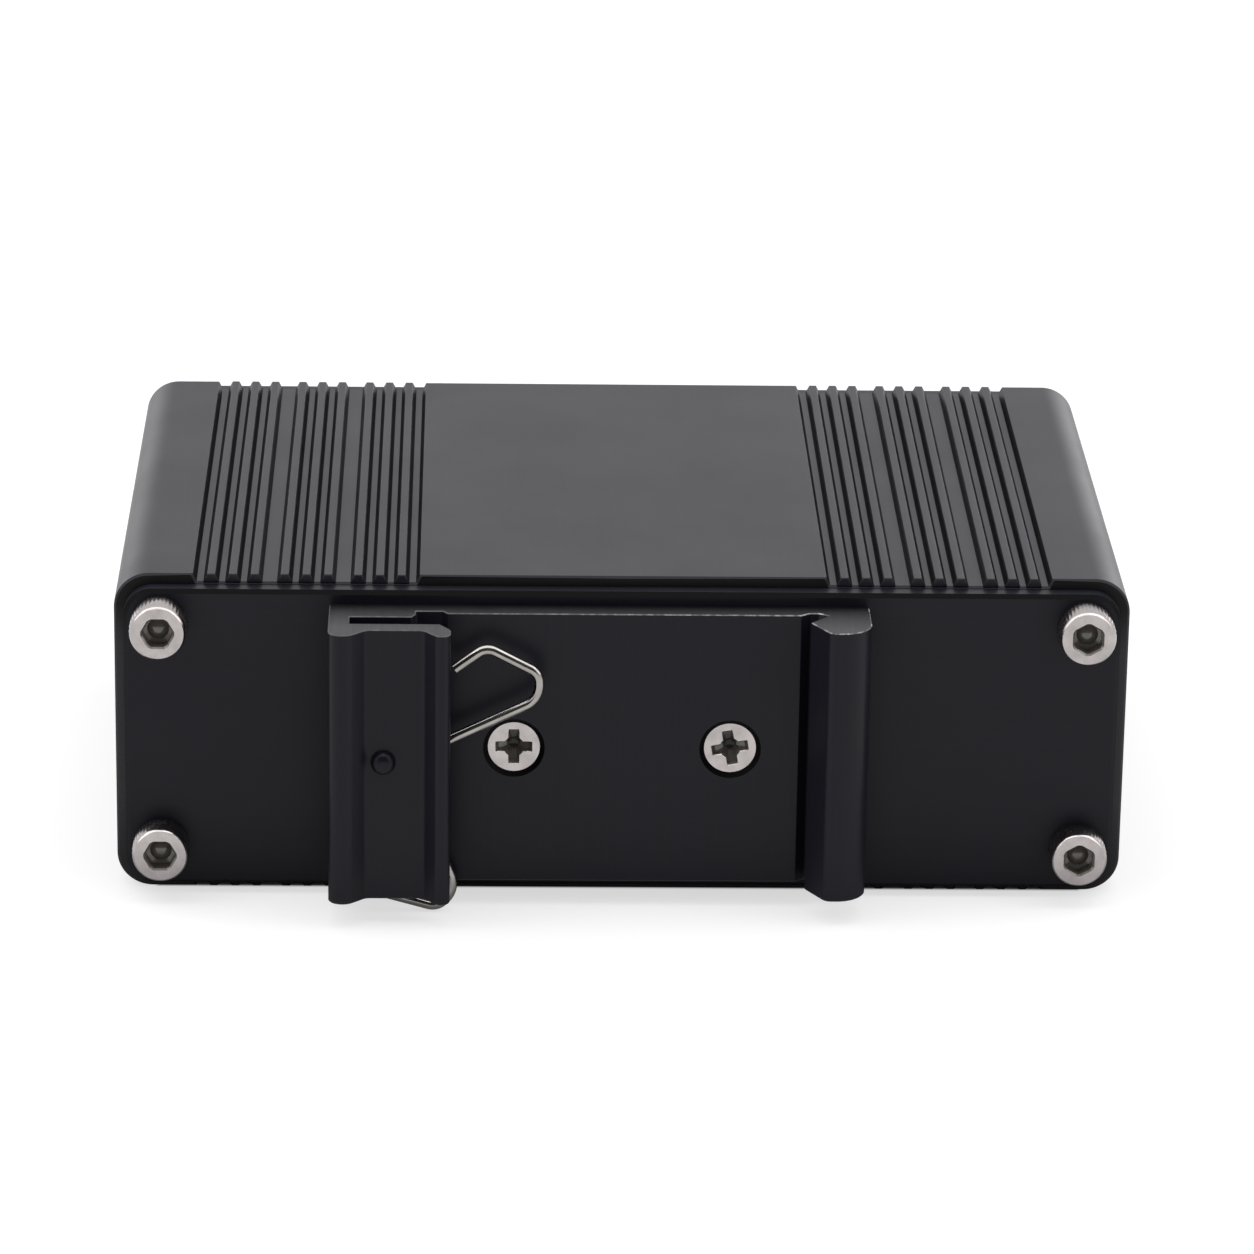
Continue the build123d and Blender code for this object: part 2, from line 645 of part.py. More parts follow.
def dc_out_header():
    """A shrouded two-pole header, open towards the outside."""
    front = header_front()
    half = HEADER_WIDTH / 2
    body = block((HEADER_X - half, HEADER_X + half), (front - HEADER_DEPTH, front),
                 (BOARD_TOP, BOARD_TOP + HEADER_HEIGHT))
    body -= block((HEADER_X - half + HEADER_WALL, HEADER_X + half - HEADER_WALL),
                  (front - HEADER_MOUTH_DEPTH, front + 1),
                  (BOARD_TOP + HEADER_WALL, BOARD_TOP + HEADER_HEIGHT - HEADER_WALL))
    for x in terminal_places():
        body -= terminal_pin(x, CHIP_GAP)
        body -= block((x - KEYWAY_WIDTH / 2, x + KEYWAY_WIDTH / 2), (front - HEADER_MOUTH_DEPTH, front + 1),
                      (BOARD_TOP + HEADER_HEIGHT - 2 * HEADER_WALL, BOARD_TOP + HEADER_HEIGHT - KEYWAY_FLOOR))
    return body


def terminal_places():
    return [HEADER_X + side * TERMINAL_PITCH / 2 for side in (-1, 1)]


def terminal_row():
    return header_front() - HEADER_DEPTH + TERMINAL_INSET


def terminal_pin(x, grow=0.0):
    """A square pin that points out of the header and turns down through the board."""
    half = TERMINAL_PIN / 2 + grow
    level = BOARD_TOP + HEADER_HEIGHT / 2
    row = terminal_row()
    tip = header_front() - TERMINAL_INSET + grow
    out = block((x - half, x + half), (row - half, tip), (level - half, level + half))
    down = block((x - half, x + half), (row - half, row + half), (CARD_LEVEL - LEAD_BELOW - grow, level))
    return out + down


def dc_out_pins():
    return [terminal_pin(x) for x in terminal_places()]


def lamp(x):
    """A round lamp that looks out through the plate."""
    tip = PORT_FACE + LAMP_PROUD
    level = BOARD_TOP + LAMP_HEIGHT
    body = lying(x, level, (tip - LAMP_LENGTH, tip), LAMP_DIAMETER / 2)
    return body + lying(x, level, (tip - LAMP_LENGTH, tip - LAMP_LENGTH + 1), LAMP_FLANGE / 2)


def lamp_lead_places(x):
    """Each lamp's two leads turn down behind it."""
    row = PORT_FACE + LAMP_PROUD - LAMP_LENGTH - LAMP_LEAD_BACK
    return [(x + side * LAMP_LEAD_PITCH / 2, row) for side in (-1, 1)]


def lamp_legs(x):
    level = BOARD_TOP + LAMP_HEIGHT
    half = LAMP_LEAD / 2
    legs = []
    for lead_x, lead_y in lamp_lead_places(x):
        out = block((lead_x - half, lead_x + half),
                    (lead_y - half, PORT_FACE + LAMP_PROUD - LAMP_LENGTH), (level - half, level + half))
        down = block((lead_x - half, lead_x + half), (lead_y - half, lead_y + half),
                     (CARD_LEVEL - LEAD_BELOW, level))
        legs.append(out + down)
    return legs


def circuit_board():
    """The board, with a snug hole for every pin that passes through it."""
    board = block((-BOARD_HALF, BOARD_HALF), (BOARD_FRONT, BOARD_BACK), (CARD_LEVEL, BOARD_TOP))
    holes = []
    for x in JACK_X.values():
        holes += [(place, CONTACT_WIDTH, CONTACT_THICK) for place in jack_pin_places(x)]
        holes += [(place, SHIELD_THICK, TAB_LENGTH) for place in shield_tabs(x)]
    holes += [((x, terminal_row()), TERMINAL_PIN, TERMINAL_PIN) for x in terminal_places()]
    for x in LAMP_X:
        holes += [(place, LAMP_LEAD, LAMP_LEAD) for place in lamp_lead_places(x)]
    for (x, y), width, length in holes:
        across = width / 2 + LEAD_HOLE_PLAY
        along = length / 2 + LEAD_HOLE_PLAY
        board -= block((x - across, x + across), (y - along, y + along), (CARD_LEVEL - 1, BOARD_TOP + 1))
    return board


def on_board(x, y, size, lift=0.0):
    """A moulded package with its upper edges eased."""
    low = BOARD_TOP + lift
    body = block((x - size[0] / 2, x + size[0] / 2), (y - size[1] / 2, y + size[1] / 2), (low, low + size[2]))
    return chamfer(body.edges().group_by(Axis.Z)[-1], min(size) * PACKAGE_BEVEL)


def foot_lead(x, y, side, level, reach):
    """One bent lead: out of the package and down to the board."""
    top = BOARD_TOP + level - LEAD_THICK / 2
    fold = reach - LEAD_THICK / 2
    outline = ribbon([(0, top), (fold, top), (fold, BOARD_TOP)], LEAD_THICK / 2)
    stand = Plane(origin=(x, y + side * LEAD_WIDTH / 2, 0), x_dir=(side, 0, 0), z_dir=(0, -side, 0))
    return extrude(stand * outline, amount=LEAD_WIDTH)


def lead_rows(x, y, half_width, count, pitch, level, reach):
    leads = []
    for side in (-1, 1):
        for k in range(count):
            row = y + (k - (count - 1) / 2) * pitch
            leads.append(foot_lead(x + side * half_width, row, side, level, reach))
    return leads


def data_magnetics():
    return [on_board(x, MAGNETICS_Y, MAGNETICS_SIZE, STAND_OFF) for x in JACK_X.values()]


def magnetics_leads():
    leads = []
    for x in JACK_X.values():
        leads += lead_rows(x, MAGNETICS_Y, MAGNETICS_SIZE[0] / 2, MAGNETICS_LEADS_PER_SIDE,
                           MAGNETICS_LEAD_PITCH, MAGNETICS_LEAD_LEVEL, MAGNETICS_LEAD_REACH)
    return leads


def bridge_rectifiers():
    return [on_board(SIDE_X, BOARD_BACK - set_back, BRIDGE_SIZE) for set_back in BRIDGE_SET_BACK]


def capacitor_can(x, y, radius):
    """A round can that stands on the board."""
    can = Cylinder(radius, CAN_HEIGHT, align=(Align.CENTER, Align.CENTER, Align.MIN))
    return Pos(x, y, BOARD_TOP) * can


def output_capacitors():
    step = CAN_RADIUS + CAN_GAP / 2
    return [capacitor_can(CAN_X, ROW_Y + CAN_BACK + side * step, CAN_RADIUS) for side in (-1, 1)]


def input_capacitor():
    return capacitor_can(INPUT_CAN_X, ROW_Y + INPUT_CAN_BACK, INPUT_CAN_RADIUS)


def device_controller():
    return on_board((SWITCH_LEFT_X + SWITCH_RIGHT_X) / 2, ROW_Y + CONTROLLER_BACK, CONTROLLER_SIZE)


def switching_transistors():
    return [on_board(x, ROW_Y + SWITCH_BACK, SWITCH_SIZE) for x in (SWITCH_LEFT_X, SWITCH_RIGHT_X)]


def transformer_middle():
    return BOARD_TOP + (TRANSFORMER_LIFT + TRANSFORMER_HEIGHT) / 2


def transformer_bar(half_across, ends):
    """A square bar along the transformer's winding axis."""
    middle = transformer_middle()
    return block((TRANSFORMER_X - half_across, TRANSFORMER_X + half_across), ends,
                 (middle - half_across, middle + half_across))


def transformer_core():
    """Two ferrite halves that close round the winding and meet in the middle."""
    half = TRANSFORMER_SIZE / 2
    inside = half - CORE_WALL
    halves = []
    for side in (-1, 1):
        ends = sorted((ROW_Y, ROW_Y + side * half))
        whole = block((TRANSFORMER_X - half, TRANSFORMER_X + half), ends,
                      (BOARD_TOP + TRANSFORMER_LIFT, BOARD_TOP + TRANSFORMER_HEIGHT))
        hollow_ends = sorted((ROW_Y - side, ROW_Y + side * inside))
        hollow = block((TRANSFORMER_X - inside, TRANSFORMER_X + inside), hollow_ends,
                       (BOARD_TOP, BOARD_TOP + TRANSFORMER_HEIGHT + 1))
        halves.append(whole - hollow + transformer_bar(CORE_LEG / 2, ends))
    return halves


def transformer_bobbin():
    """The spool on the core's middle leg, with a foot on the board at each end."""
    inside = TRANSFORMER_SIZE / 2 - CORE_WALL - CHIP_GAP
    tube = CORE_LEG / 2 + CHIP_GAP
    bobbin = transformer_bar(tube + BOBBIN_WALL, (ROW_Y - inside, ROW_Y + inside))
    for side in (-1, 1):
        ends = sorted((ROW_Y + side * inside, ROW_Y + side * (inside - BOBBIN_WALL)))
        bobbin += block((TRANSFORMER_X - inside, TRANSFORMER_X + inside), ends,
                        (BOARD_TOP, BOARD_TOP + TRANSFORMER_HEIGHT))
    return bobbin - transformer_bar(tube, (ROW_Y - TRANSFORMER_SIZE, ROW_Y + TRANSFORMER_SIZE))


def transformer_winding():
    inside = TRANSFORMER_SIZE / 2 - CORE_WALL - BOBBIN_WALL - 2 * CHIP_GAP
    wound = transformer_bar(WINDING_SIZE / 2, (ROW_Y - inside, ROW_Y + inside))
    wound = fillet(wound.edges().filter_by(Axis.Y), WINDING_ROUND)
    tube = CORE_LEG / 2 + 2 * CHIP_GAP + BOBBIN_WALL
    return wound - transformer_bar(tube, (ROW_Y - TRANSFORMER_SIZE, ROW_Y + TRANSFORMER_SIZE))


def output_inductor():
    half = INDUCTOR_SIZE / 2
    y = ROW_Y + INDUCTOR_BACK
    body = block((INDUCTOR_X - half, INDUCTOR_X + half), (y - half, y + half),
                 (BOARD_TOP, BOARD_TOP + INDUCTOR_HEIGHT))
    return chamfer(body.edges().filter_by(Axis.Z), INDUCTOR_CORNER)


def output_rectifier():
    return on_board(INDUCTOR_X, ROW_Y + RECTIFIER_BACK, RECTIFIER_SIZE)


def surge_suppressor():
    return on_board(SIDE_X, BOARD_BACK - SUPPRESSOR_SET_BACK, SUPPRESSOR_SIZE)


def feedback_coupler():
    return on_board(JACK_X["data_out"] - COUPLER_OFFSET, ROW_Y + COUPLER_BACK, COUPLER_SIZE)


def safety_capacitor():
    """A blue disc that stands on edge across the isolation gap."""
    y = ROW_Y + SAFETY_BACK
    half = SAFETY_THICK / 2
    x = JACK_X["data_out"] - SAFETY_OFFSET
    return lying(x, BOARD_TOP + SAFETY_RADIUS, (y - half, y + half), SAFETY_RADIUS)


def small_chips():
    chips = []
    header_back = header_front() - HEADER_DEPTH
    half_x = CHIP_SIZE[0] / 2
    half_y = CHIP_SIZE[1] / 2
    for set_back in CHIP_SET_BACK:
        y = header_back - set_back
        for k in range(CHIP_COLUMNS):
            x = HEADER_X + CHIP_OFFSET + k * CHIP_PITCH
            chips.append(block((x - half_x, x + half_x), (y - half_y, y + half_y),
                               (BOARD_TOP, BOARD_TOP + CHIP_SIZE[2])))
    return chips


NODES = {
    "body_extrusion": body_extrusion,
    "clip_side_plate": clip_side_plate,
    "port_side_plate": port_side_plate,
    "clip_side_screws": lambda: cap_screws(CLIP_BACK, -1),
    "port_side_screws": lambda: cap_screws(PORT_FACE, 1),
    "din_clip": din_clip,
    "clip_screws": clip_screws,
    "spring_pin": spring_pin,
    "wire_spring": wire_spring,
    "circuit_board": circuit_board,
    "dc_out_header": dc_out_header,
    "dc_out_pins": dc_out_pins,
    "status_leds": lambda: [lamp(x) for x in LAMP_X],
    "status_led_legs": lambda: [leg for x in LAMP_X for leg in lamp_legs(x)],
    "data_magnetics": data_magnetics,
    "magnetics_leads": magnetics_leads,
    "bridge_rectifiers": bridge_rectifiers,
    "surge_suppressor": surge_suppressor,
    "input_capacitor": input_capacitor,
    "device_controller": device_controller,
    "switching_transistors": switching_transistors,
    "transformer_core": transformer_core,
    "transformer_bobbin": transformer_bobbin,
    "transformer_winding": transformer_winding,
    "output_rectifier": output_rectifier,
    "output_inductor": output_inductor,
    "output_capacitors": output_capacitors,
    "feedback_coupler": feedback_coupler,
    "safety_capacitor": safety_capacitor,
    "small_chips": small_chips,
}
for jack, jack_x in JACK_X.items():
    NODES[jack + "_housing"] = lambda x=jack_x: jack_housing(x)
    NODES[jack + "_shield"] = lambda x=jack_x: jack_shield(x)
    NODES[jack + "_contacts"] = lambda x=jack_x: jack_contacts(x)

os.makedirs("parts", exist_ok=True)
for name, make in NODES.items():
    made = make()
    solids = [solid for piece in (made if isinstance(made, list) else [made]) for solid in piece.solids()]
    shape = solids[0] if len(solids) == 1 else Compound(children=solids)
    export_step(shape, os.path.join("parts", name + ".step"))
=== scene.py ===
from math import asin, atan2, cos, degrees, hypot, pi, radians, sin, tan

import bmesh
import bpy
from bpy.props import FloatProperty, FloatVectorProperty, IntProperty, PointerProperty
from mathutils import Matrix, Vector
from mathutils.geometry import tessellate_polygon


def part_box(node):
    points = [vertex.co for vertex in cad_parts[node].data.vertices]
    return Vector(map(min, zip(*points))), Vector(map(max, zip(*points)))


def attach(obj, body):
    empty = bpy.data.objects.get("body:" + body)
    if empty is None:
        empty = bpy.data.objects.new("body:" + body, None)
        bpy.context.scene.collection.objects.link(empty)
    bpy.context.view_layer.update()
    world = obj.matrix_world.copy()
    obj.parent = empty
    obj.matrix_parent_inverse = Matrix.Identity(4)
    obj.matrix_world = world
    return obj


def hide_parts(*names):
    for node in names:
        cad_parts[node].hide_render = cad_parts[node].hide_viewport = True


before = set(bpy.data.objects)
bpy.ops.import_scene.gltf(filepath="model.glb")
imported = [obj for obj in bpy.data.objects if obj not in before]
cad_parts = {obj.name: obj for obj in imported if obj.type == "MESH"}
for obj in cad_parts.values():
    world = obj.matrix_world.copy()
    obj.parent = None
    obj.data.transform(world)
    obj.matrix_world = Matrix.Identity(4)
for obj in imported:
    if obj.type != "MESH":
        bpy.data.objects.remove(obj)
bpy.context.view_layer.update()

bl_info = {
    "name": "Splitter box with a rail clip",
    "version": (1, 0, 0),
    "blender": (4, 5, 0),
    "location": "3D View > Sidebar > Splitter box",
    "description": "Builds the pieces and finishes of a ribbed aluminium box with a rail clip",
    "category": "Add Mesh",
}

MM = 0.001

# Radii in millimetres: the shank of a screw, the hole it passes through, and the hole of a lamp.
SHANK = 1.5
SCREW_HOLE = 1.7
LAMP_HOLE = 1.7

WHITE = (1.0, 1.0, 1.0, 1.0)


def box_in_mm(node):
    """The lowest and highest corner of a solid of the frame, in millimetres."""
    low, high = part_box(node)
    return low / MM, high / MM


def middle_in_mm(node):
    low, high = box_in_mm(node)
    return (low + high) / 2


def in_mm(settings, *names):
    """Lengths of a group of settings, in millimetres."""
    return [getattr(settings, name) / MM for name in names]


def halves_in_mm(settings, *names):
    return [size / 2 for size in in_mm(settings, *names)]


TUBE_LOW, TUBE_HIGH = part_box("body_extrusion")
PLATE_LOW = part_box("clip_side_plate")[0]
CLIP_LOW, CLIP_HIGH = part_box("din_clip")


def length(label, about, default):
    return FloatProperty(name=label, description=about, default=default, min=0.0, unit="LENGTH", precision=5)


def number(label, about, default, least=1):
    return IntProperty(name=label, description=about, default=default, min=least)


def lamp_power(label, about, default):
    return FloatProperty(name=label, description=about, default=default, subtype="POWER", unit="POWER")


def colour(label, about, default):
    return FloatVectorProperty(
        name=label, description=about, default=default, min=0.0, max=1.0, subtype="COLOR")


class BoxSizes(bpy.types.PropertyGroup):
    width: length("Width", "Tube from side to side", TUBE_HIGH.x - TUBE_LOW.x)
    height: length("Height", "Tube from underside to top", TUBE_HIGH.z - TUBE_LOW.z)
    wall: length("Wall", "Thickness of the tube's wall", 0.0022)
    corner: length("Corner", "Radius of the tube's long edges", 0.0033)
    side_land: length("Side land", "Plain strip beside each long edge", 0.0073)
    rib_depth: length("Rib depth", "How far the ribs stand up from their recess", 0.00075)
    rib_foot: length("Rib foot", "Width of a rib at its foot", 0.00145)
    rib_top: length("Rib top", "Width of a rib at its top", 0.00068)
    rib_pitch: length("Rib pitch", "Distance between ribs of a group", 0.002)
    group_gap: length("Group gap", "Distance between the nearest ribs of two groups", 0.00277)
    strip_edge: length("Strip edge", "Distance from a recess's edge to its first rib", 0.0017)
    recess_slope: length("Recess slope", "How far a recess's side wall leans inwards", 0.00036)
    ribs: number("Ribs", "Ribs in a group", 3)
    groups: number("Groups", "Groups of ribs in a strip", 3)
    plate_inset: length("Plate inset", "From a plate's edge to the tube's", PLATE_LOW.x - TUBE_LOW.x)
    plate_corner: length("Plate corner", "Radius of a plate's corners", 0.0027)
    plate_bevel: length("Plate bevel", "Bevel round a plate's outer face", 0.00038)


class ScrewSizes(bpy.types.PropertyGroup):
    inset: length("Inset", "Screw axis from the tube's side", 0.00425)
    low: length("Low row", "Height of the lower screws", 0.0049)
    high: length("High row", "Height of the upper screws", 0.0268)
    channel: length("Channel", "Half the width of the block round a screw channel", 0.0026)
    head: length("Head", "Diameter of a cap screw's head", 0.0053)
    head_height: length("Head height", "Height of a cap screw's head", 0.003)
    socket: length("Socket", "Hexagon socket across its flats", 0.0026)
    knurls: number("Knurls", "Grooves round a cap screw's head", 42, 6)
    flat_head: length("Flat head", "Diameter of a countersunk head", 0.0049)
    spacing: length("Spacing", "Distance between the countersunk screws", 0.02)


class ClipSizes(bpy.types.PropertyGroup):
    width: length("Width", "Clip from side to side", CLIP_HIGH.x - CLIP_LOW.x)
    base: length("Base", "Thickness of the clip's web", 0.0025)
    burr: length("Burr", "Width of the bare bevel at the sawn ends", 0.00009)
    countersink: length("Countersink", "Diameter of a countersink at the face", 0.0057)
    pin: length("Pin", "Diameter of the spring's pin", 0.0016)
    pin_head: length("Pin head", "Diameter of the pin's head", 0.0023)


class SpringSizes(bpy.types.PropertyGroup):
    wire: length("Wire", "Diameter of the wire", 0.00093)
    bend: length("Bend", "Radius of the loops' bends", 0.0014)
    knee: length("Knee", "Radius of the bend where a leg enters its loop", 0.0022)
    turn: FloatProperty(name="Turn", description="How the spring lies on its pin at rest",
                        default=radians(-21.5), subtype="ANGLE", unit="ROTATION")


class Finishes(bpy.types.PropertyGroup):
    tube: colour("Tube", "Dyed oxide on the tube", (0.0115, 0.011, 0.0165))
    plate: colour("Plates", "Dyed oxide on the end plates", (0.0065, 0.006, 0.0105))
    clip: colour("Clip", "Dyed oxide on the clip", (0.0065, 0.006, 0.0105))
    steel: colour("Screws", "Plated steel of the screws", (0.47, 0.435, 0.43))
    wire: colour("Wire", "Stainless wire of the spring", (0.37, 0.352, 0.335))


class Studio(bpy.types.PropertyGroup):
    lens: FloatProperty(name="Lens", description="Focal length in millimetres", default=173.03)
    floor: FloatProperty(name="Floor", description="Reflectance of the floor", default=0.42, min=0.0, max=1.0)
    lift: FloatProperty(name="Lift", description="What the camera sees added to the lit floor", default=0.64)
    top_light: lamp_power("Top light", "Power of the overhead lamp", 6.0)
    side_light: lamp_power("Side light", "Power of each side lamp", 1.0)
    rim_light: lamp_power("Rim light", "Power of the lamp behind, seen by reflections alone", 0.65)


def feed(node, inputs):
    """Links or sets the inputs of a node. A list is several links to one input."""
    for name, value in inputs.items():
        for one in value if isinstance(value, list) else [value]:
            if isinstance(one, bpy.types.NodeSocket):
                node.id_data.links.new(one, node.inputs[name])
            else:
                node.inputs[name].default_value = one
    return node


def step(tree, kind, inputs, out=0, **settings):
    """One output of a new node with its settings and inputs."""
    made = tree.nodes.new(kind)
    for name, value in settings.items():
        setattr(made, name, value)
    return feed(made, inputs).outputs[out]


def reckon(tree, operation, first, *others):
    """One operation on a value and each of the others in turn."""
    for other in others or (0.0,):
        first = step(tree, "ShaderNodeMath", {0: first, 1: other}, operation=operation)
    return first


def rgba(base):
    """A colour with its alpha, or a colour socket as it is."""
    return base if isinstance(base, bpy.types.NodeSocket) else (*base[:3], 1.0)


def scaled(base, factor):
    return [channel * factor for channel in base[:3]]


class Finish:
    """A material under construction: a shader, and patterns on the piece's own coordinates."""

    def __init__(self, name, base, roughness, metallic=0.0, specular=0.5):
        self.material = bpy.data.materials.new(name)
        self.material.use_nodes = True
        self.tree = self.material.node_tree
        self.shader = self.tree.nodes["Principled BSDF"]
        feed(self.shader, {"Metallic": metallic, "Specular IOR Level": specular})
        self.coordinates = self.tree.nodes.new("ShaderNodeTexCoord").outputs
        self.base = base
        self.roughness = roughness
        self.normal = None

    def along(self, coordinates, axis):
        """One axis of the piece's Object coordinates or of its Normal."""
        return step(self.tree, "ShaderNodeSeparateXYZ", {"Vector": self.coordinates[coordinates]}, axis)

    def noise(self, size, stretch=(1, 1, 1), detail=3.0, roughness=0.55):
        """Noise whose blotches are size millimetres across, stretched along chosen axes."""
        place = step(self.tree, "ShaderNodeMapping", {
            "Vector": self.coordinates["Object"], "Scale": tuple(1 / (MM * size * s) for s in stretch)})
        return step(self.tree, "ShaderNodeTexNoise", {
            "Vector": place, "Scale": 1.0, "Detail": detail, "Roughness": roughness}, "Fac")

    def spread(self, value, low, high, start=0.3, end=0.7):
        """The value brought from start..end to low..high."""
        return step(self.tree, "ShaderNodeMapRange", {
            "Value": value, "From Min": start, "From Max": end, "To Min": low, "To Max": high})

    def mix(self, amount, first, second, mode="MIX"):
        return step(self.tree, "ShaderNodeMix", {0: amount, 6: rgba(first), 7: rgba(second)}, 2,
                    data_type="RGBA", blend_type=mode)

    def vary(self, pattern, shade):
        """Multiplies the base colour where the pattern is high."""
        amount = self.spread(pattern, 0.0, 1.0)
        if isinstance(self.base, bpy.types.NodeSocket):
            shaded = self.mix(1.0, self.base, (shade, shade, shade), "MULTIPLY")
        else:
            shaded = scaled(self.base, shade)
        self.base = self.mix(amount, self.base, shaded)

    def cover(self, other, *amounts):
        """Lays another colour over the base by the product of the amounts."""
        self.base = self.mix(reckon(self.tree, "MULTIPLY", *amounts), self.base, other)

    def flanks(self, reach):
        """1 on surfaces that face sideways and lie less than reach from the middle, 0 elsewhere."""
        side = reckon(self.tree, "ABSOLUTE", self.along("Normal", "X"))
        off = reckon(self.tree, "ABSOLUTE", self.along("Object", "X"))
        near = reckon(self.tree, "LESS_THAN", off, reach)
        return reckon(self.tree, "MULTIPLY", self.spread(side, 0.0, 1.0, 0.55, 0.9), near)

    def bump(self, pattern, strength, depth):
        """A relief of a depth in millimetres, over the one that is there."""
        before = {"Normal": self.normal} if self.normal else {}
        self.normal = step(self.tree, "ShaderNodeBump", {
            "Height": pattern, "Strength": strength, "Distance": depth * MM, **before})

    def done(self, pattern, spread=0.06):
        """The material, its roughness spread about its middle value by a pattern."""
        roughness = self.spread(pattern, self.roughness - spread, self.roughness + spread)
        feed(self.shader, {"Base Color": rgba(self.base), "Roughness": roughness})
        if self.normal:
            feed(self.shader, {"Normal": self.normal})
        return self.material


def anodised(name, base, along, roughness, specular, shaded_flank_reach=None):
    """Dyed oxide on extruded or rolled aluminium: faint die lines, and an etched grain.

    The last argument is how far from the middle the upright sides of ribs get painted shade, darker and less
    glossy.
    """
    finish = Finish(name, base, roughness, specular=specular)
    stretch = [1.0, 1.0, 1.0]
    stretch[along] = 220.0
    lines = finish.noise(0.32, stretch, detail=2.0)
    grain = finish.noise(0.16, detail=2.0)
    cloud = finish.noise(14.0, detail=4.0)
    finish.vary(lines, 1.15)
    finish.vary(cloud, 1.12)
    if shaded_flank_reach:
        # Painted shade: the ribs' upright sides get a darker colour and a weaker reflection.
        flank_shade = finish.flanks(shaded_flank_reach)
        finish.base = finish.mix(flank_shade, finish.base, scaled(base, 0.12))
        shine = finish.spread(flank_shade, specular, specular * 0.2, 0.0, 1.0)
        feed(finish.shader, {"Specular IOR Level": shine})
    finish.bump(lines, 0.05, 0.02)
    finish.bump(grain, 0.14, 0.02)
    return finish.done(cloud, 0.03)


def rim(name, base, specular, dark, low=0.0):
    """Dyed oxide round an end, with painted shade: darker by a factor on edges that face up and near the top.

    low is how much of that painted shade comes back near the underside.
    """
    finish = Finish(name, base, 0.45, specular=specular)
    level = finish.along("Object", "Z")
    upwards = finish.spread(finish.along("Normal", "Z"), 0.0, 1.0, 0.35, 0.65)
    high = finish.spread(level, 0.0, 1.0, TUBE_HIGH.z - 0.007, TUBE_HIGH.z - 0.003)
    under = finish.spread(level, low, 0.0, 0.002, 0.009)
    # Painted shade: darker where an edge faces up, near the top, and by a share near the underside.
    amount = reckon(finish.tree, "MAXIMUM", upwards, high, under)
    finish.base = finish.mix(amount, base, scaled(base, dark))
    grain = finish.noise(0.2, detail=2.0)
    finish.vary(grain, 1.2)
    finish.bump(grain, 0.14, 0.02)
    return finish.done(grain, 0.04)


def socket_wall(name, base, specular=0.9):
    """Steel inside a drive: brown-grey oxide, painted darker than the head as shade of the hollow, and
    slightly cloudy.
    """
    finish = Finish(name, base, 0.20, specular=specular)
    cloud = finish.noise(0.7)
    finish.vary(cloud, 0.75)
    finish.bump(cloud, 0.1, 0.02)
    return finish.done(cloud)


def bright_metal(name, base, roughness, grain=0.1, strength=0.12):
    """Plated or polished metal with fine scuffs and slight clouding."""
    finish = Finish(name, base, roughness, metallic=1.0)
    cloud = finish.noise(1.6, detail=4.0)
    scuffs = finish.noise(grain, (1, 1, 5), detail=2.0)
    finish.vary(cloud, 0.80)
    finish.bump(scuffs, strength, 0.012)
    return finish.done(cloud, 0.07)


def burred(name, base, bare_and_lit):
    """A sawn edge: dark oxide broken by light specks of uncoated metal, which also stand in as a painted
    highlight: they show only where the edge faces up, and fewer towards the lip.
    """
    finish = Finish(name, base, 0.55, specular=0.4)
    across = finish.spread(finish.along("Object", "X"), 0.15, 1.0, CLIP_LOW.x + 0.010, CLIP_HIGH.x - 0.006)
    upper = finish.spread(finish.along("Normal", "Z"), 0.0, 1.0, -0.1, 0.1)
    specks = finish.noise(0.7, detail=5.0, roughness=0.7)
    # Painted highlight: light specks only on faces turned up, fewer towards the lip.
    finish.cover(bare_and_lit, finish.spread(specks, 0.0, 1.0, 0.45, 0.72), across, upper)
    finish.bump(specks, 0.5, 0.03)
    return finish.done(specks, 0.08)


def sawn(name, base, bare_and_lit):
    """A sawn end of the clip with painted light and shade: lighter the further it stands off the plate,
    darker near it.
    """
    finish = Finish(name, base, 0.46, specular=0.12)
    lit_off_plate = finish.spread(finish.along("Object", "Y"), 1.0, 0.0, CLIP_HIGH.y - 0.0065, CLIP_HIGH.y - 0.0005)
    patches = finish.noise(1.1, detail=4.0, roughness=0.65)
    # Painted light and shade: the lighter colour laid on by the distance from the plate, broken a little by
    # patches.
    finish.cover(bare_and_lit, lit_off_plate, finish.spread(patches, 0.8, 1.0, 0.35, 0.65))
    saw_marks = finish.noise(0.22, (1, 60, 1), detail=2.0)
    finish.vary(saw_marks, 1.3)
    finish.bump(saw_marks, 0.25, 0.02)
    return finish.done(patches, 0.05)


def moulded(name, base, roughness=0.42, specular=0.4, grain=0.12):
    """Moulded plastic with a fine spark-eroded grain."""
    finish = Finish(name, base, roughness, specular=specular)
    fine = finish.noise(grain, detail=2.0)
    flow = finish.noise(5.0, (1, 2, 1))
    finish.vary(flow, 1.25)
    finish.bump(fine, 0.25, 0.02)
    return finish.done(flow)


def laminate(name, base, track):
    """Solder mask over tracks on a glass laminate."""
    finish = Finish(name, base, 0.34)
    edge = finish.spread(finish.noise(1.8, (6, 1, 1), detail=0.0), 0.0, 1.0, 0.49, 0.51)
    weave = finish.noise(0.5, detail=1.0)
    finish.base = finish.mix(edge, base, track)
    finish.bump(edge, 0.4, 0.03)
    finish.bump(weave, 0.1, 0.02)
    return finish.done(weave, 0.05)


def lens(name, base):
    """A tinted, slightly clouded lamp body."""
    finish = Finish(name, base, 0.16)
    haze = finish.noise(0.9)
    finish.vary(haze, 1.3)
    finish.bump(haze, 0.1, 0.01)
    feed(finish.shader, {"Transmission Weight": 0.35})
    return finish.done(haze, 0.05)


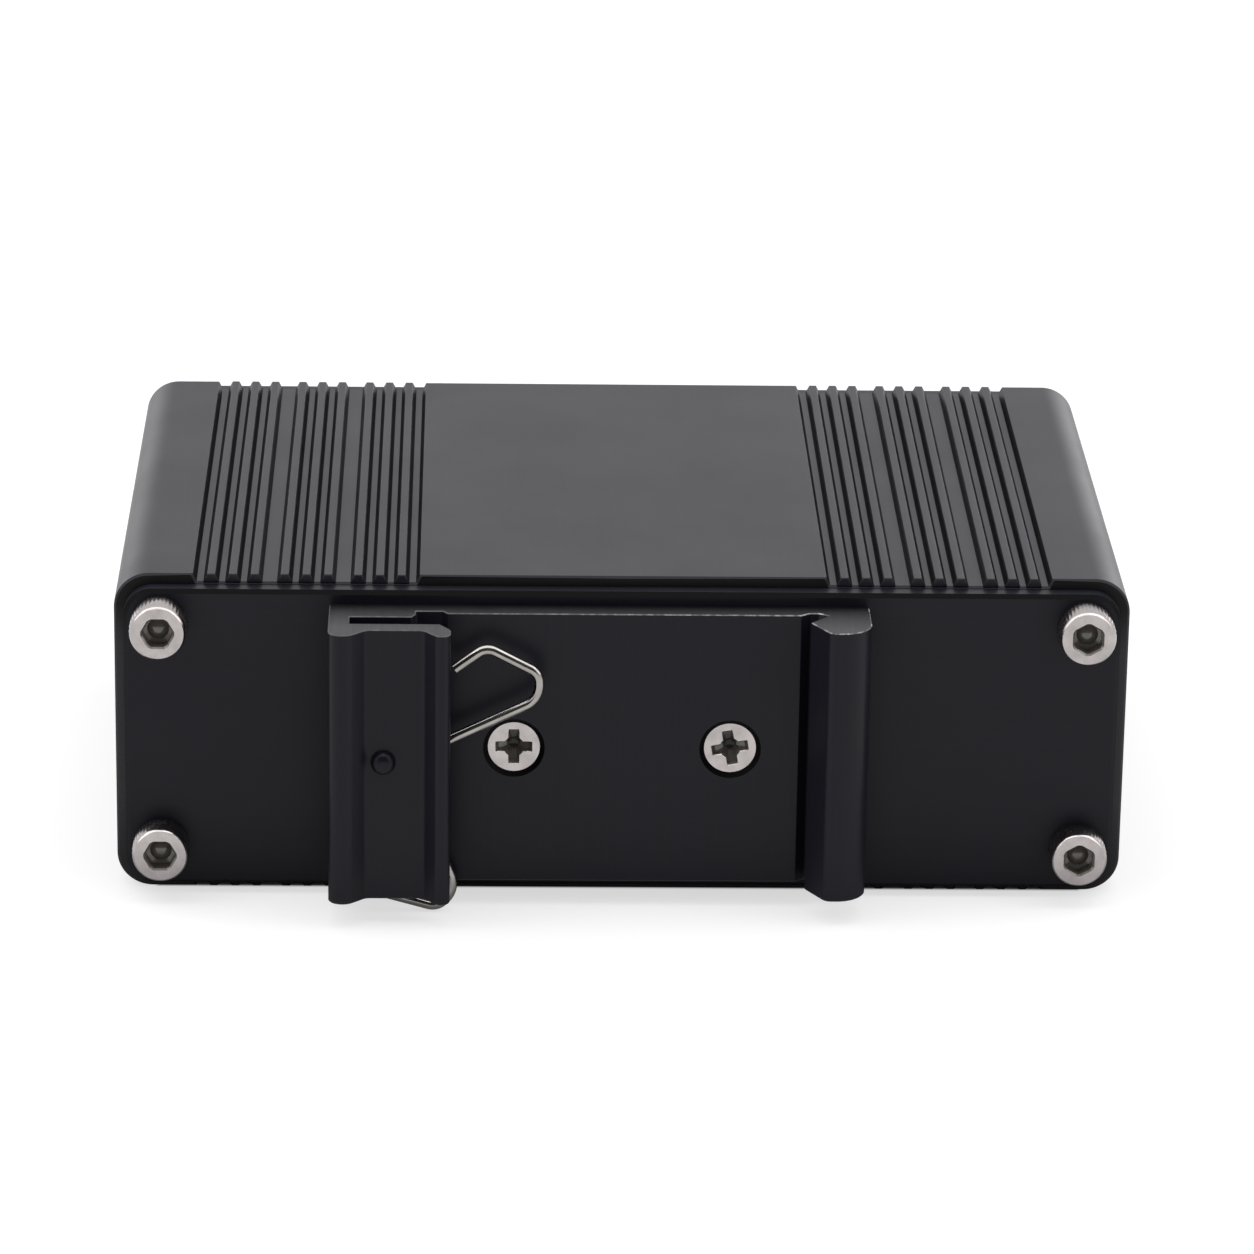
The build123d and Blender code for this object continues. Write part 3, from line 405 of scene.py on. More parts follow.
# What makes each finish, its colour or the setting that holds it, and what else the maker takes.
RECIPES = {
    "anodised_tube": (anodised, "tube", 1, 0.38, 0.22, TUBE_HIGH.x - 0.005),
    "tube_end": (rim, (0.050, 0.049, 0.053), 0.14, 0.18, 0.5),
    "plate_edge": (rim, (0.010, 0.0095, 0.012), 0.06, 0.25),
    "anodised_plate": (anodised, "plate", 0, 0.42, 0.21),
    "anodised_clip": (anodised, "clip", 2, 0.38, 0.20),
    "sawn_end": (sawn, (0.0025, 0.0025, 0.0035), (0.056, 0.055, 0.061)),
    # Painted shade: the countersinks' walls are near black.
    "countersink_wall": (anodised, (0.0015, 0.0015, 0.0018), 1, 0.5, 0.05),
    "bare_edge": (burred, (0.07, 0.07, 0.075), (0.60, 0.59, 0.61)),
    "bright_screw": (bright_metal, "steel", 0.24),
    # Painted shade: the insides of the drives are darker than the heads.
    "socket": (socket_wall, (0.125, 0.108, 0.092)),
    "recess": (socket_wall, (0.125, 0.110, 0.095)),
    # Painted shade: the floor of the cross recess is darker still.
    "recess_floor": (socket_wall, (0.030, 0.027, 0.024), 0.25),
    "blackened_pin": (anodised, "clip", 2, 0.34, 0.18),
    "spring_wire": (bright_metal, "wire", 0.17, 0.12, 0.06),
    "board": (laminate, (0.012, 0.11, 0.045), (0.02, 0.17, 0.07)),
    "jack_insert": (moulded, (0.010, 0.010, 0.011)),
    "jack_shield": (bright_metal, (0.60, 0.60, 0.58), 0.30, 0.2),
    "contact": (bright_metal, (0.83, 0.58, 0.22), 0.22),
    "header": (moulded, (0.015, 0.11, 0.035)),
    "tinned_pin": (bright_metal, (0.66, 0.65, 0.62), 0.30),
    "lamp_green": (lens, (0.03, 0.33, 0.06)),
    "lamp_amber": (lens, (0.75, 0.30, 0.02)),
    "package": (moulded, (0.012, 0.012, 0.013), 0.5, 0.35, 0.2),
    "capacitor_can": (moulded, (0.010, 0.012, 0.020), 0.3, 0.5),
    "can_top": (bright_metal, (0.72, 0.72, 0.71), 0.34),
    "ferrite": (moulded, (0.030, 0.028, 0.028), 0.62, 0.3, 0.3),
    "bobbin": (moulded, (0.02, 0.02, 0.022)),
    "winding_tape": (moulded, (0.75, 0.50, 0.04), 0.3, 0.5, 0.4),
    "disc_coat": (moulded, (0.03, 0.12, 0.40), 0.35, 0.5, 0.3),
    "chip_body": (moulded, (0.36, 0.27, 0.17), 0.5, 0.4, 0.2),
}
MATERIALS = {}


def material(name):
    """The finish of that name, made when it is first asked for."""
    if name not in MATERIALS:
        maker, base, *more = RECIPES[name]
        if isinstance(base, str):
            base = getattr(bpy.context.scene.finishes, base)
        MATERIALS[name] = maker(name, base, *more)
    return MATERIALS[name]


def bend(before, here, after, radius, fine):
    """The arc that rounds a corner, in steps of about fine degrees."""
    back, on = (before - here).normalized(), (after - here).normalized()
    between = back.angle(on)
    middle = here + (back + on).normalized() * (radius / sin(between / 2))
    start = here + back * (radius / tan(between / 2)) - middle
    turn = pi - between
    if back.x * on.y - back.y * on.x > 0:
        turn = -turn
    steps = max(2, round(abs(turn) / radians(fine)))
    return [middle + Matrix.Rotation(turn * k / steps, 2) @ start for k in range(steps + 1)]


def rounded(corners, fine=9.0):
    """A closed outline from (x, y, radius) corners, each one rounded by its radius."""
    places = [Vector(corner[:2]) for corner in corners]
    outline = []
    for k, here in enumerate(places):
        radius = corners[k][2]
        after = places[(k + 1) % len(places)]
        outline += bend(places[k - 1], here, after, radius, fine) if radius else [here]
    return outline


def rectangle(width, height, radius, middle=(0.0, 0.0), fine=9.0):
    across, up = middle
    signs = ((-1, -1), (1, -1), (1, 1), (-1, 1))
    return rounded([(across + s * width / 2, up + t * height / 2, radius) for s, t in signs], fine)


def even_angles(sides):
    return [2 * pi * k / sides for k in range(sides)]


def circle(x, y, radius, sides=40):
    return [Vector((x + radius * cos(a), y + radius * sin(a))) for a in even_angles(sides)]


def signed_area(loop):
    return sum(a.x * b.y - a.y * b.x for a, b in zip(loop, loop[1:] + loop[:1])) / 2


def inset(loop, amount):
    """The loop moved to its left by an amount, with mitred corners."""
    moved = []
    for k, here in enumerate(loop):
        before = (here - loop[k - 1]).normalized()
        after = (loop[(k + 1) % len(loop)] - here).normalized()
        left = Vector((-before.y - after.y, before.x + after.x))
        moved.append(here + left * (amount / (1 + before.dot(after))))
    return moved


def xz_at(u, v, w):
    """A section drawn across and up, drawn out along Y."""
    return (u, w, v)


class Shell:
    """Points in millimetres and the faces between them, each face with a mark for its material."""

    def __init__(self):
        self.points = []
        self.faces = []
        self.marks = []

    def ring(self, points):
        start = len(self.points)
        self.points.extend(Vector(p) for p in points)
        return list(range(start, len(self.points)))

    def face(self, corners, mark=0):
        self.faces.append(corners)
        self.marks.append(mark)

    def band(self, low, high, mark=0):
        for k in range(len(low)):
            on = (k + 1) % len(low)
            self.face([low[k], low[on], high[on], high[k]], mark)

    def fan(self, ring, pole, mark=0):
        for k in range(len(ring)):
            self.face([ring[k], ring[(k + 1) % len(ring)], pole], mark)

    def cap(self, rings, mark=0):
        loops = [[self.points[i] for i in ring] for ring in rings]
        flat = [i for ring in rings for i in ring]
        for triangle in tessellate_polygon(loops):
            self.face([flat[i] for i in triangle], mark)

    def prism(self, loops, ends, bevels=(0.0, 0.0), marks=(0, 0, 0), place=xz_at):
        """A section with holes drawn from one end to the other. marks are for walls, bevels and ends."""
        caps = ([], [])
        for k, loop in enumerate(loops):
            if (signed_area(loop) > 0) == (k > 0):
                loop = loop[::-1]
            walls = []
            for end, bevel, inwards, cap in zip(ends, bevels, (1, -1), caps):
                narrow = inset(loop, bevel) if bevel else loop
                face = self.ring(place(p.x, p.y, end) for p in narrow)
                wall = face
                if bevel:
                    wall = self.ring(place(p.x, p.y, end + inwards * bevel) for p in loop)
                    self.band(*(face, wall)[::inwards], marks[1])
                cap.append(face)
                walls.append(wall)
            self.band(*walls, marks[0])
        for cap in caps:
            self.cap(cap, marks[2])
        return self

    def lathe(self, rows, angles, place):
        """Rows of (radius or a function of the angle, height, mark or nothing). Radius 0 is a pole."""
        last = None
        for radius, height, *mark in rows:
            if radius == 0:
                pole = self.ring([place(0.0, 0.0, height)])[0]
                if last:
                    self.fan(last, pole, *mark)
                    last = None
                else:
                    last = pole
                continue
            points = []
            for angle in angles:
                r = radius(angle) if callable(radius) else radius
                points.append(place(r * cos(angle), r * sin(angle), height))
            ring = self.ring(points)
            if isinstance(last, int):
                self.fan(ring, last, *mark)
            elif last:
                self.band(last, ring, *mark)
            last = ring
        return self

    def mesh(self, name):
        mesh = bpy.data.meshes.new(name)
        mesh.from_pydata([p * MM for p in self.points], [], self.faces)
        mesh.polygons.foreach_set("material_index", self.marks)
        return mesh

    def piece(self, name, finishes, sharp=30.0):
        """The piece with its finishes in the order of the faces' marks."""
        mesh = self.mesh(name)
        for finish in finishes:
            mesh.materials.append(material(finish))
        tidy_mesh(mesh, sharp)
        return new_object(name, mesh)


def tidy_mesh(mesh, sharp):
    """Merges doubles, turns the faces outwards and keeps edges sharper than an angle."""
    work = bmesh.new()
    work.from_mesh(mesh)
    bmesh.ops.remove_doubles(work, verts=work.verts, dist=1e-7)
    bmesh.ops.dissolve_degenerate(work, edges=work.edges, dist=1e-8)
    bmesh.ops.recalc_face_normals(work, faces=work.faces)
    for face in work.faces:
        face.smooth = True
    work.to_mesh(mesh)
    work.free()
    mesh.set_sharp_from_angle(angle=radians(sharp))
    mesh.update()


def new_object(name, data):
    made = bpy.data.objects.new(name, data)
    bpy.context.scene.collection.objects.link(made)
    return made


def fit(obj, nodes, body="box"):
    """The piece rides on its body and stands for its solids, which are hidden."""
    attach(obj, body)
    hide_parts(*nodes)


def cut(obj, cutter):
    """Takes the cutter's shape away from the piece and removes the cutter."""
    modifier = obj.modifiers.new("Cut", "BOOLEAN")
    modifier.operation = "DIFFERENCE"
    modifier.solver = "EXACT"
    modifier.material_mode = "TRANSFER"
    modifier.object = cutter
    settle(obj)
    bpy.data.objects.remove(cutter)


def settle(obj):
    """Puts the evaluated shape in place of the mesh and its modifiers."""
    bpy.context.view_layer.update()
    graph = bpy.context.evaluated_depsgraph_get()
    shaped = bpy.data.meshes.new_from_object(obj.evaluated_get(graph), depsgraph=graph)
    shaped.name = obj.name
    obj.modifiers.clear()
    obj.data = shaped


SOCKETS = {int: "NodeSocketInt", float: "NodeSocketFloat", type(None): "NodeSocketMaterial"}


def new_tree(name, inputs):
    """A geometry tree with an input for each label, of the kind of its default. None is a material."""
    tree = bpy.data.node_groups.new(name, "GeometryNodeTree")
    face = tree.interface
    face.new_socket("Geometry", in_out="INPUT", socket_type="NodeSocketGeometry")
    for label, default in inputs.items():
        socket = face.new_socket(label, in_out="INPUT", socket_type=SOCKETS[type(default)])
        if default is not None:
            socket.default_value = default
    face.new_socket("Geometry", in_out="OUTPUT", socket_type="NodeSocketGeometry")
    return tree, tree.nodes.new("NodeGroupInput").outputs


def end_tree(tree, geometry, finish, extra=None):
    """Realizes the copies, sets the finish, and a second one where an attribute says so."""
    real = step(tree, "GeometryNodeRealizeInstances", {"Geometry": geometry})
    last = step(tree, "GeometryNodeSetMaterial", {"Geometry": real, "Material": finish})
    if extra:
        named = step(tree, "GeometryNodeInputNamedAttribute", {"Name": extra[0]}, "Attribute",
                     data_type="BOOLEAN")
        last = step(tree, "GeometryNodeSetMaterial", {
            "Geometry": last, "Selection": named, "Material": extra[1]})
    feed(tree.nodes.new("NodeGroupOutput"), {0: last})


def run_tree(obj, tree, values):
    """Runs a tree on a piece with its inputs set by identifier, and keeps the plain mesh."""
    modifier = obj.modifiers.new(tree.name, "NODES")
    modifier.node_group = tree
    for item in tree.interface.items_tree:
        if item.in_out == "INPUT" and item.name in values:
            modifier[item.identifier] = values[item.name]
    settle(obj)


def vector(tree, **axes):
    return step(tree, "ShaderNodeCombineXYZ", axes)


def copies(tree, piece, points, turn=(0, 0, 0)):
    return step(tree, "GeometryNodeInstanceOnPoints", {
        "Points": points, "Instance": piece, "Rotation": turn})


def row(tree, piece, count, pitch):
    """Copies of a piece at a pitch towards -X."""
    back = vector(tree, X=reckon(tree, "MULTIPLY", pitch, -1.0))
    line = step(tree, "GeometryNodeMeshLine", {"Count": count, "Offset": back})
    return copies(tree, piece, line)


def moved(tree, geometry, place=(0, 0, 0), turn=(0, 0, 0)):
    return step(tree, "GeometryNodeTransform", {
        "Geometry": geometry, "Translation": place, "Rotation": turn})


def joined(tree, *parts):
    return step(tree, "GeometryNodeJoinGeometry", {"Geometry": list(parts)})


def rib_tree():
    """Ribs in groups, groups in a strip, the strip on both halves, above and below."""
    tree, given = new_tree("Cooling ribs", {
        "Ribs": 3, "Groups": 3, "Pitch": 0.002, "Group step": 0.007, "First": 0.038, "Floor": 0.03,
        "Height": 0.031, "Finish": None})
    group = row(tree, given["Geometry"], given["Ribs"], given["Pitch"])
    strip = row(tree, group, given["Groups"], given["Group step"])
    right = moved(tree, strip, vector(tree, X=given["First"], Z=given["Floor"]))
    top = joined(tree, right, moved(tree, right, turn=(0, 0, pi)))
    below = moved(tree, top, vector(tree, Z=given["Height"]), (0, pi, 0))
    end_tree(tree, joined(tree, top, below), given["Finish"])
    return tree


def corner_screw_tree():
    """One screw at each corner of a plate, the right-hand pair turned half a flat further."""
    tree, given = new_tree("Corner screws", {
        "Across": 0.0855, "Rise": 0.0219, "Middle": 0.0159, "Face": 0.0, "Tilt": 0.0, "Spin": 0.5,
        "Finish": None, "Socket": None})
    grid = step(tree, "GeometryNodeMeshGrid", {
        "Size X": given["Across"], "Size Y": given["Rise"], "Vertices X": 2, "Vertices Y": 2})
    place = vector(tree, Y=given["Face"], Z=given["Middle"])
    stood = moved(tree, grid, place, (pi / 2, 0, 0))
    screws = copies(tree, given["Geometry"], stood, vector(tree, X=given["Tilt"]))
    position = tree.nodes.new("GeometryNodeInputPosition").outputs[0]
    across = step(tree, "ShaderNodeSeparateXYZ", {0: position}, "X")
    right = reckon(tree, "GREATER_THAN", across, 0.0)
    turned = step(tree, "GeometryNodeRotateInstances", {
        "Instances": screws, "Local Space": True,
        "Rotation": vector(tree, Z=reckon(tree, "MULTIPLY", right, given["Spin"]))})
    end_tree(tree, turned, given["Finish"], ("in_socket", given["Socket"]))
    return tree


def wire_tree():
    """A round wire along a line."""
    tree, given = new_tree("Wire along a line", {"Radius": 0.0004, "Sides": 20, "Finish": None})
    curve = step(tree, "GeometryNodeMeshToCurve", {"Mesh": given["Geometry"]})
    ring = step(tree, "GeometryNodeCurvePrimitiveCircle", {
        "Radius": given["Radius"], "Resolution": given["Sides"]})
    wire = step(tree, "GeometryNodeCurveToMesh", {
        "Curve": curve, "Profile Curve": ring, "Fill Caps": True})
    end_tree(tree, wire, given["Finish"])
    return tree


class PieceOperator:
    """What the operators share."""
    bl_options = {"REGISTER", "UNDO"}


def tube_hollow(sizes):
    """The hollow, with a screw channel left in each corner."""
    width, height, wall = in_mm(sizes, "width", "height", "wall")
    axis, low, high, channel = in_mm(bpy.context.scene.screw_sizes, "inset", "low", "high", "channel")
    half, corner = width / 2 - wall, 0.3
    boss, low, high = half - (axis + channel - wall), low + channel, high - channel
    right = [(boss, wall), (boss, low), (half, low), (half, high), (boss, high), (boss, height - wall)]
    left = [(-x, z) for x, z in right[::-1]]
    return rounded([(x, z, corner) for x, z in right + left], 30.0)


class SPLITTER_OT_tube(PieceOperator, bpy.types.Operator):
    """Builds the extruded tube and its cooling ribs"""
    bl_idname = "splitter.tube"
    bl_label = "Tube"

    def execute(self, context):
        sizes = context.scene.box_sizes
        width, height, corner, land = in_mm(sizes, "width", "height", "corner", "side_land")
        deep, lean, margin = in_mm(sizes, "rib_depth", "recess_slope", "strip_edge")
        pitch, gap = in_mm(sizes, "rib_pitch", "group_gap")
        ends = (TUBE_LOW.y / MM, TUBE_HIGH.y / MM)
        outer = width / 2 - land
        group = (sizes.ribs - 1) * pitch
        first = outer - margin
        inner = first - (sizes.groups - 1) * (group + gap) - group - margin
        edge = 0.05
        right = [
            (0.0, height, 0), (inner, height, edge), (inner + lean, height - deep, edge),
            (outer - lean, height - deep, edge), (outer, height, edge),
            (width / 2, height, corner), (width / 2, 0.0, corner),
            (outer, 0.0, edge), (outer - lean, deep, edge), (inner + lean, deep, edge), (inner, 0.0, edge),
            (0.0, 0.0, 0),
        ]
        left = [(-x, z, r) for x, z, r in right[-2:0:-1]]
        outline = rounded(right + left, 6.0)
        end_bevel = 0.2
        shell = Shell().prism([outline, tube_hollow(sizes)], ends, (end_bevel, end_bevel), (0, 0, 1))
        fit(shell.piece("tube", ["anodised_tube", "tube_end"], 28.0), ["body_extrusion"])

        foot, top = halves_in_mm(sizes, "rib_foot", "rib_top")
        sunk, rib_bevel = 0.1, 0.1
        rib = rounded([(-foot, -sunk, 0), (foot, -sunk, 0), (foot, 0, 0), (top, deep, edge),
                       (-top, deep, edge), (-foot, 0, 0)], 22.0)
        shell = Shell().prism([rib], ends, (rib_bevel, rib_bevel))
        ribs = shell.piece("cooling_ribs", ["anodised_tube"], 40.0)
        run_tree(ribs, rib_tree(), {
            "Ribs": sizes.ribs, "Groups": sizes.groups, "Pitch": sizes.rib_pitch,
            "Group step": (group + gap) * MM, "First": first * MM, "Floor": (height - deep) * MM,
            "Height": height * MM, "Finish": material("anodised_tube")})
        fit(ribs, ["body_extrusion"])
        return {"FINISHED"}


def over_board(node):
    """Middle, width and height of what stands over the board, seen along Y."""
    low, high = box_in_mm(node)
    low.z = box_in_mm("circuit_board")[1].z
    middle, size = (low + high) / 2, high - low
    return (middle.x, middle.z), size.x, size.z


def lamp_places():
    """The lamps' places across, their height and the radius of their flanges."""
    low, high = box_in_mm("status_leds")
    flange = (high.z - low.z) / 2
    return (low.x + flange, high.x - flange), (low.z + high.z) / 2, flange


def port_openings():
    """Openings for the jacks, the header and the lamps."""
    play, corner = 0.4, 0.3
    cuts = []
    for node in ("poe_in_shield", "data_out_shield", "dc_out_header"):
        middle, wide, tall = over_board(node)
        cuts.append(rectangle(wide + play, tall + play, corner, middle, 30.0))
    places, level, _ = lamp_places()
    return cuts + [circle(x, level, LAMP_HOLE) for x in places]


class SPLITTER_OT_plates(PieceOperator, bpy.types.Operator):
    """Builds the two end plates"""
    bl_idname = "splitter.plates"
    bl_label = "End plates"

    def execute(self, context):
        sizes, screws = context.scene.box_sizes, context.scene.screw_sizes
        width, height, margin, corner, bevel = in_mm(
            sizes, "width", "height", "plate_inset", "plate_corner", "plate_bevel")
        inner_bevel = 0.14
        outline = rectangle(width - 2 * margin, height - 2 * margin, corner, (0.0, height / 2), 6.0)
        x = width / 2 - screws.inset / MM
        holes = [circle(s * x, z, SCREW_HOLE) for s in (-1, 1) for z in in_mm(screws, "low", "high")]
        for name, node, cuts in (
            ("clip_end_plate", "clip_side_plate", []),
            ("port_end_plate", "port_side_plate", port_openings()),
        ):
            low, high = box_in_mm(node)
            bevels = (bevel, inner_bevel) if low.y < 0 else (inner_bevel, bevel)
            shell = Shell().prism([outline, *holes, *cuts], (low.y, high.y), bevels, (0, 1, 0))
            fit(shell.piece(name, ["anodised_plate", "plate_edge"], 25.0), [node])
        return {"FINISHED"}


def cap_screw(name, sizes):
    """One screw along Z, its head seated at zero."""
    radius, half_flat = halves_in_mm(sizes, "head", "socket")
    tall = sizes.head_height / MM
    collar = radius - 0.06
    grooves, groove, lip, screw_length = sizes.knurls, 0.048, 0.15, 8.0

    def knurl(angle):
        return radius - groove * (0.5 - 0.5 * cos(grooves * angle)) ** 0.7

    def hexagon(grow):
        def at(angle):
            off = (angle % (pi / 3)) - pi / 6
            return min((half_flat + grow) / cos(off), half_flat * 1.085 + grow)
        return at

    rows = [
        (0, -screw_length), (SHANK - 0.3, -screw_length), (SHANK, 0.3 - screw_length), (SHANK, 0.0),
        (radius - 0.3, 0.0), (radius - 0.12, 0.12), (knurl, 0.2), (knurl, tall - 0.62),
        (collar, tall - 0.54), (collar, tall - 0.26), (radius - 0.14, tall - 0.1), (radius - 0.25, tall),
        (hexagon(lip), tall), (hexagon(0.0), tall - lip, 1), (hexagon(0.0), tall - 1.5, 1),
        (1.0, tall - 1.6, 1), (0.85, tall - 1.5, 1), (0.65, tall - 1.36, 1), (0.35, tall - 1.25, 1),
        (0, tall - 1.22, 1),
    ]
    mesh = Shell().lathe(rows, even_angles(grooves * 4), lambda u, v, w: (u, v, w)).mesh(name)
    tidy_mesh(mesh, 32.0)
    socket = mesh.attributes.new("in_socket", "BOOLEAN", "FACE")
    marks = [face.material_index == 1 for face in mesh.polygons]
    socket.data.foreach_set("value", marks)
    mesh.polygons.foreach_set("material_index", [0] * len(marks))
    return new_object(name, mesh)


class SPLITTER_OT_cap_screws(PieceOperator, bpy.types.Operator):
    """Builds the knurled cap screws at the plates' corners"""
    bl_idname = "splitter.cap_screws"
    bl_label = "Cap screws"

    def execute(self, context):
        box, sizes = context.scene.box_sizes, context.scene.screw_sizes
        values = {
            "Across": box.width - 2 * sizes.inset, "Rise": sizes.high - sizes.low,
            "Middle": (sizes.low + sizes.high) / 2, "Spin": radians(30),
            "Finish": material("bright_screw"), "Socket": material("socket")}
        tree = corner_screw_tree()
        for name, node, tilt in (
            ("clip_end_screws", "clip_side_screws", pi / 2),
            ("port_end_screws", "port_side_screws", -pi / 2),
        ):
            low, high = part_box(node)
            face = low.y + sizes.head_height if tilt > 0 else high.y - sizes.head_height
            screws = cap_screw(name, sizes)
            run_tree(screws, tree, {**values, "Face": face, "Tilt": tilt})
            screws.data.set_sharp_from_angle(angle=radians(32))
            fit(screws, [node])
        return {"FINISHED"}


def clip_section(sizes):
    """Corners: how far across from the clip's left side, how far off the plate, and their radius."""
    wide, base = in_mm(sizes, "width", "base")
    lip, bead, nose = 7.14, 8.89, 11.2
    slot_start, slot_back, slot_front = 1.9, 3.5, 5.44
    step_edge, relief = 7.95, 1.9
    hook, root, hook_front = wide - 5.55, wide - 3.8, 7.4
    return [
        (0, 0, 0.5), (0, bead - 0.5, 1.2), (1.7, bead, 1.4), (3.5, lip, 0.9), (8.7, lip, 0.9),
        (10.1, bead, 0.8), (nose, bead - 0.3, 0.8), (nose, lip - 0.2, 0.9), (10.2, slot_front, 0.3),
        (slot_start, slot_front, 0.08), (slot_start, slot_back, 0.08), (7.6, slot_back, 0.2),
        (step_edge, 2.7, 0.2), (step_edge, relief, 0.15), (10.5, relief, 0.2), (10.85, base, 0.08),
        (hook - 0.8, base, 0.08), (hook, relief, 0.3), (root - 0.9, relief, 0.3), (root, base, 0.1),
        (hook, base + 1.9, 0.08), (root, hook_front, 1.0), (wide, hook_front, 2.7), (wide, 0, 0.5),
    ]


class SPLITTER_OT_clip(PieceOperator, bpy.types.Operator):
    """Builds the extruded rail clip with its sawn ends, countersinks and pin hole"""
    bl_idname = "splitter.clip"
    bl_label = "Rail clip"

    def execute(self, context):
        sizes, screws = context.scene.clip_sizes, context.scene.screw_sizes
        low, high = box_in_mm("din_clip")
        burr, base = in_mm(sizes, "burr", "base")
        outline = rounded(clip_section(sizes), 9.0)
        shell = Shell().prism([outline], (low.z, high.z), (burr, burr), (0, 1, 2),
                              lambda u, v, w: (low.x + u, high.y - v, w))
        sharp = 25.0
        clip = shell.piece("rail_clip", ["anodised_clip", "bare_edge", "sawn_end"], sharp)

        def bore(name, rows, sides, x, z, finish):
            """Cuts a turned hole whose rows count from the plate towards the front."""
            tool = Shell().lathe(rows, even_angles(sides), lambda u, v, w: (x + u, high.y - w, z + v))
            cut(clip, tool.piece(name, [finish]))

        sink, pin = halves_in_mm(sizes, "countersink", "pin")
        over, beyond, play, front = 0.1, 1.0, 0.02, 12.0
        rows = [(0, -beyond), (SCREW_HOLE, -beyond), (SCREW_HOLE, base - sink + SCREW_HOLE), (sink, base),
                (sink + over, base + over), (sink + over, base + beyond), (0, base + beyond)]
        for side in (-1, 1):
            x = side * screws.spacing / MM / 2
            bore("countersink", rows, 64, x, (low.z + high.z) / 2, "countersink_wall")
        x, _, z = middle_in_mm("spring_pin")
        rows = [(0, -beyond), (pin + play, -beyond), (pin + play, front), (0, front)]
        bore("pin_bore", rows, 32, x, z, "anodised_clip")
        for face in clip.data.polygons:
            face.use_smooth = True
        clip.data.set_sharp_from_angle(angle=radians(sharp))
        fit(clip, ["din_clip"])
        return {"FINISHED"}


def flat_screw(shell, sizes, x, face, level, turn):
    """A screw towards the plate, its cross recess turned by an angle."""
    radius = sizes.flat_head / MM / 2
    half_arm, arm, lip, screw_length = 0.46, 1.65, 0.06, 6.0
    corner = degrees(atan2(half_arm, arm))
    quarter = [-corner, -12, -8, -4, 0, 4, 8, 12, corner, 21, 26, 31, 36, 40.5, 45, 49.5, 54, 59, 64, 69]
    angles = [radians(90 * k + a) for k in range(4) for a in quarter]

    def cross(reach, half):
        def at(angle):
            off = (angle + pi / 4) % (pi / 2) - pi / 4
            side = half / max(abs(sin(off)), 1e-6)
            return min(reach / cos(off), max(side, reach * 0.57))
        return at

    rows = [
        (0, -screw_length), (SHANK, -screw_length), (SHANK, -1.3), (radius - 0.06, -0.12), (radius, -0.04),
        (radius - 0.05, 0.0), (cross(arm + lip, half_arm + lip), 0.0), (cross(arm, half_arm), -lip),
        (cross(arm * 0.85, half_arm * 0.9), -0.6, 1), (0.62, -1.0, 1), (0.5, -1.25, 1), (0.25, -1.36, 2),
        (0, -1.38, 2),
    ]
    c, s = cos(turn), sin(turn)
    shell.lathe(rows, angles, lambda u, v, w: (x + u * c - v * s, face - w, level + u * s + v * c))


class SPLITTER_OT_clip_screws(PieceOperator, bpy.types.Operator):
    """Builds the countersunk cross-head screws of the clip"""
    bl_idname = "splitter.clip_screws"
    bl_label = "Clip screws"

    def execute(self, context):
        sizes = context.scene.screw_sizes
        face, level = box_in_mm("clip_screws")[0].y, middle_in_mm("clip_screws").z
        shell = Shell()
        for side, turn in ((-1, 0.0), (1, 10.0)):
            flat_screw(shell, sizes, side * sizes.spacing / MM / 2, face, level, radians(turn))
        screws = shell.piece("clip_flat_screws", ["bright_screw", "recess", "recess_floor"], 28.0)
        fit(screws, ["clip_screws"])
        return {"FINISHED"}


def pin_rows(sizes, top, end):
    """The pin from its chamfered end to the top of its domed head."""
    shank, head = halves_in_mm(sizes, "pin", "pin_head")
    seat, chamfer, steps = top + 0.95, 0.15, 12
    brim = seat - 0.05
    rows = [(0, end), (shank - chamfer, end), (shank, end - chamfer), (shank, seat),
            (head - 0.03, seat), (head, brim)]
    for k in range(1, steps):
        a = radians(90 * k / steps)
        rows.append((head * cos(a) ** 0.75, brim - (brim - top) * sin(a)))
    return rows + [(0, top)]


def wire_line(sizes):
    """The wire's middle line in the spring's own frame: a wrap round the pin and two mirrored loops."""
    pin_radius, play, side_play = 0.8, 0.05, 0.04
    wire, round_bend, knee_bend = in_mm(sizes, "wire", "bend", "knee")
    wrap_radius = pin_radius + play + wire / 2
    knee, crown, shoulder, free = (11.35, 10.38), (10.28, 12.65), (4.90, 13.21), (3.01, 10.19)
    ramp, layer = 0.6, (wire + side_play) / 2
    heading = atan2(knee[1], knee[0]) + asin(wrap_radius / hypot(*knee))
    start = pi / 2 - heading
    wrap = 2 * pi - 2 * start
    rise = layer / (1 + 2 * ramp / (wrap_radius * wrap))
    ahead = Vector((cos(heading), sin(heading)))
    touch = Vector((ahead.y, -ahead.x)) * wrap_radius
    upper = []
    for point in wire_bends([touch, knee, crown, shoulder, free], [knee_bend, round_bend, round_bend], ramp):
        rising = not upper or upper[-1][2] < layer
        gone = min(1.0, (point - touch).dot(ahead) / ramp) if rising else 1.0
        upper.append((point.x, point.y, rise + (layer - rise) * max(0.0, gone)))
    lower = [(px, -py, -pz) for px, py, pz in upper][::-1]
    turns = []
    steps = 48
    for k in range(1, steps):
        angle = start + wrap * k / steps
        turns.append((wrap_radius * cos(angle), wrap_radius * sin(angle), rise * (2 * k / steps - 1)))
    return lower + turns + upper


def wire_bends(corners, radii, ramp):
    """An open line through the corners with round bends, and short steps over its first stretch."""
    corners = [Vector(c) for c in corners]
    first = (corners[1] - corners[0]).normalized()
    line = [corners[0] + first * (ramp * k / 4) for k in range(5)]
    for before, here, after, radius in zip(corners, corners[1:], corners[2:], radii):
        line += bend(before, here, after, radius, 7.0)
    return line + [corners[-1]]


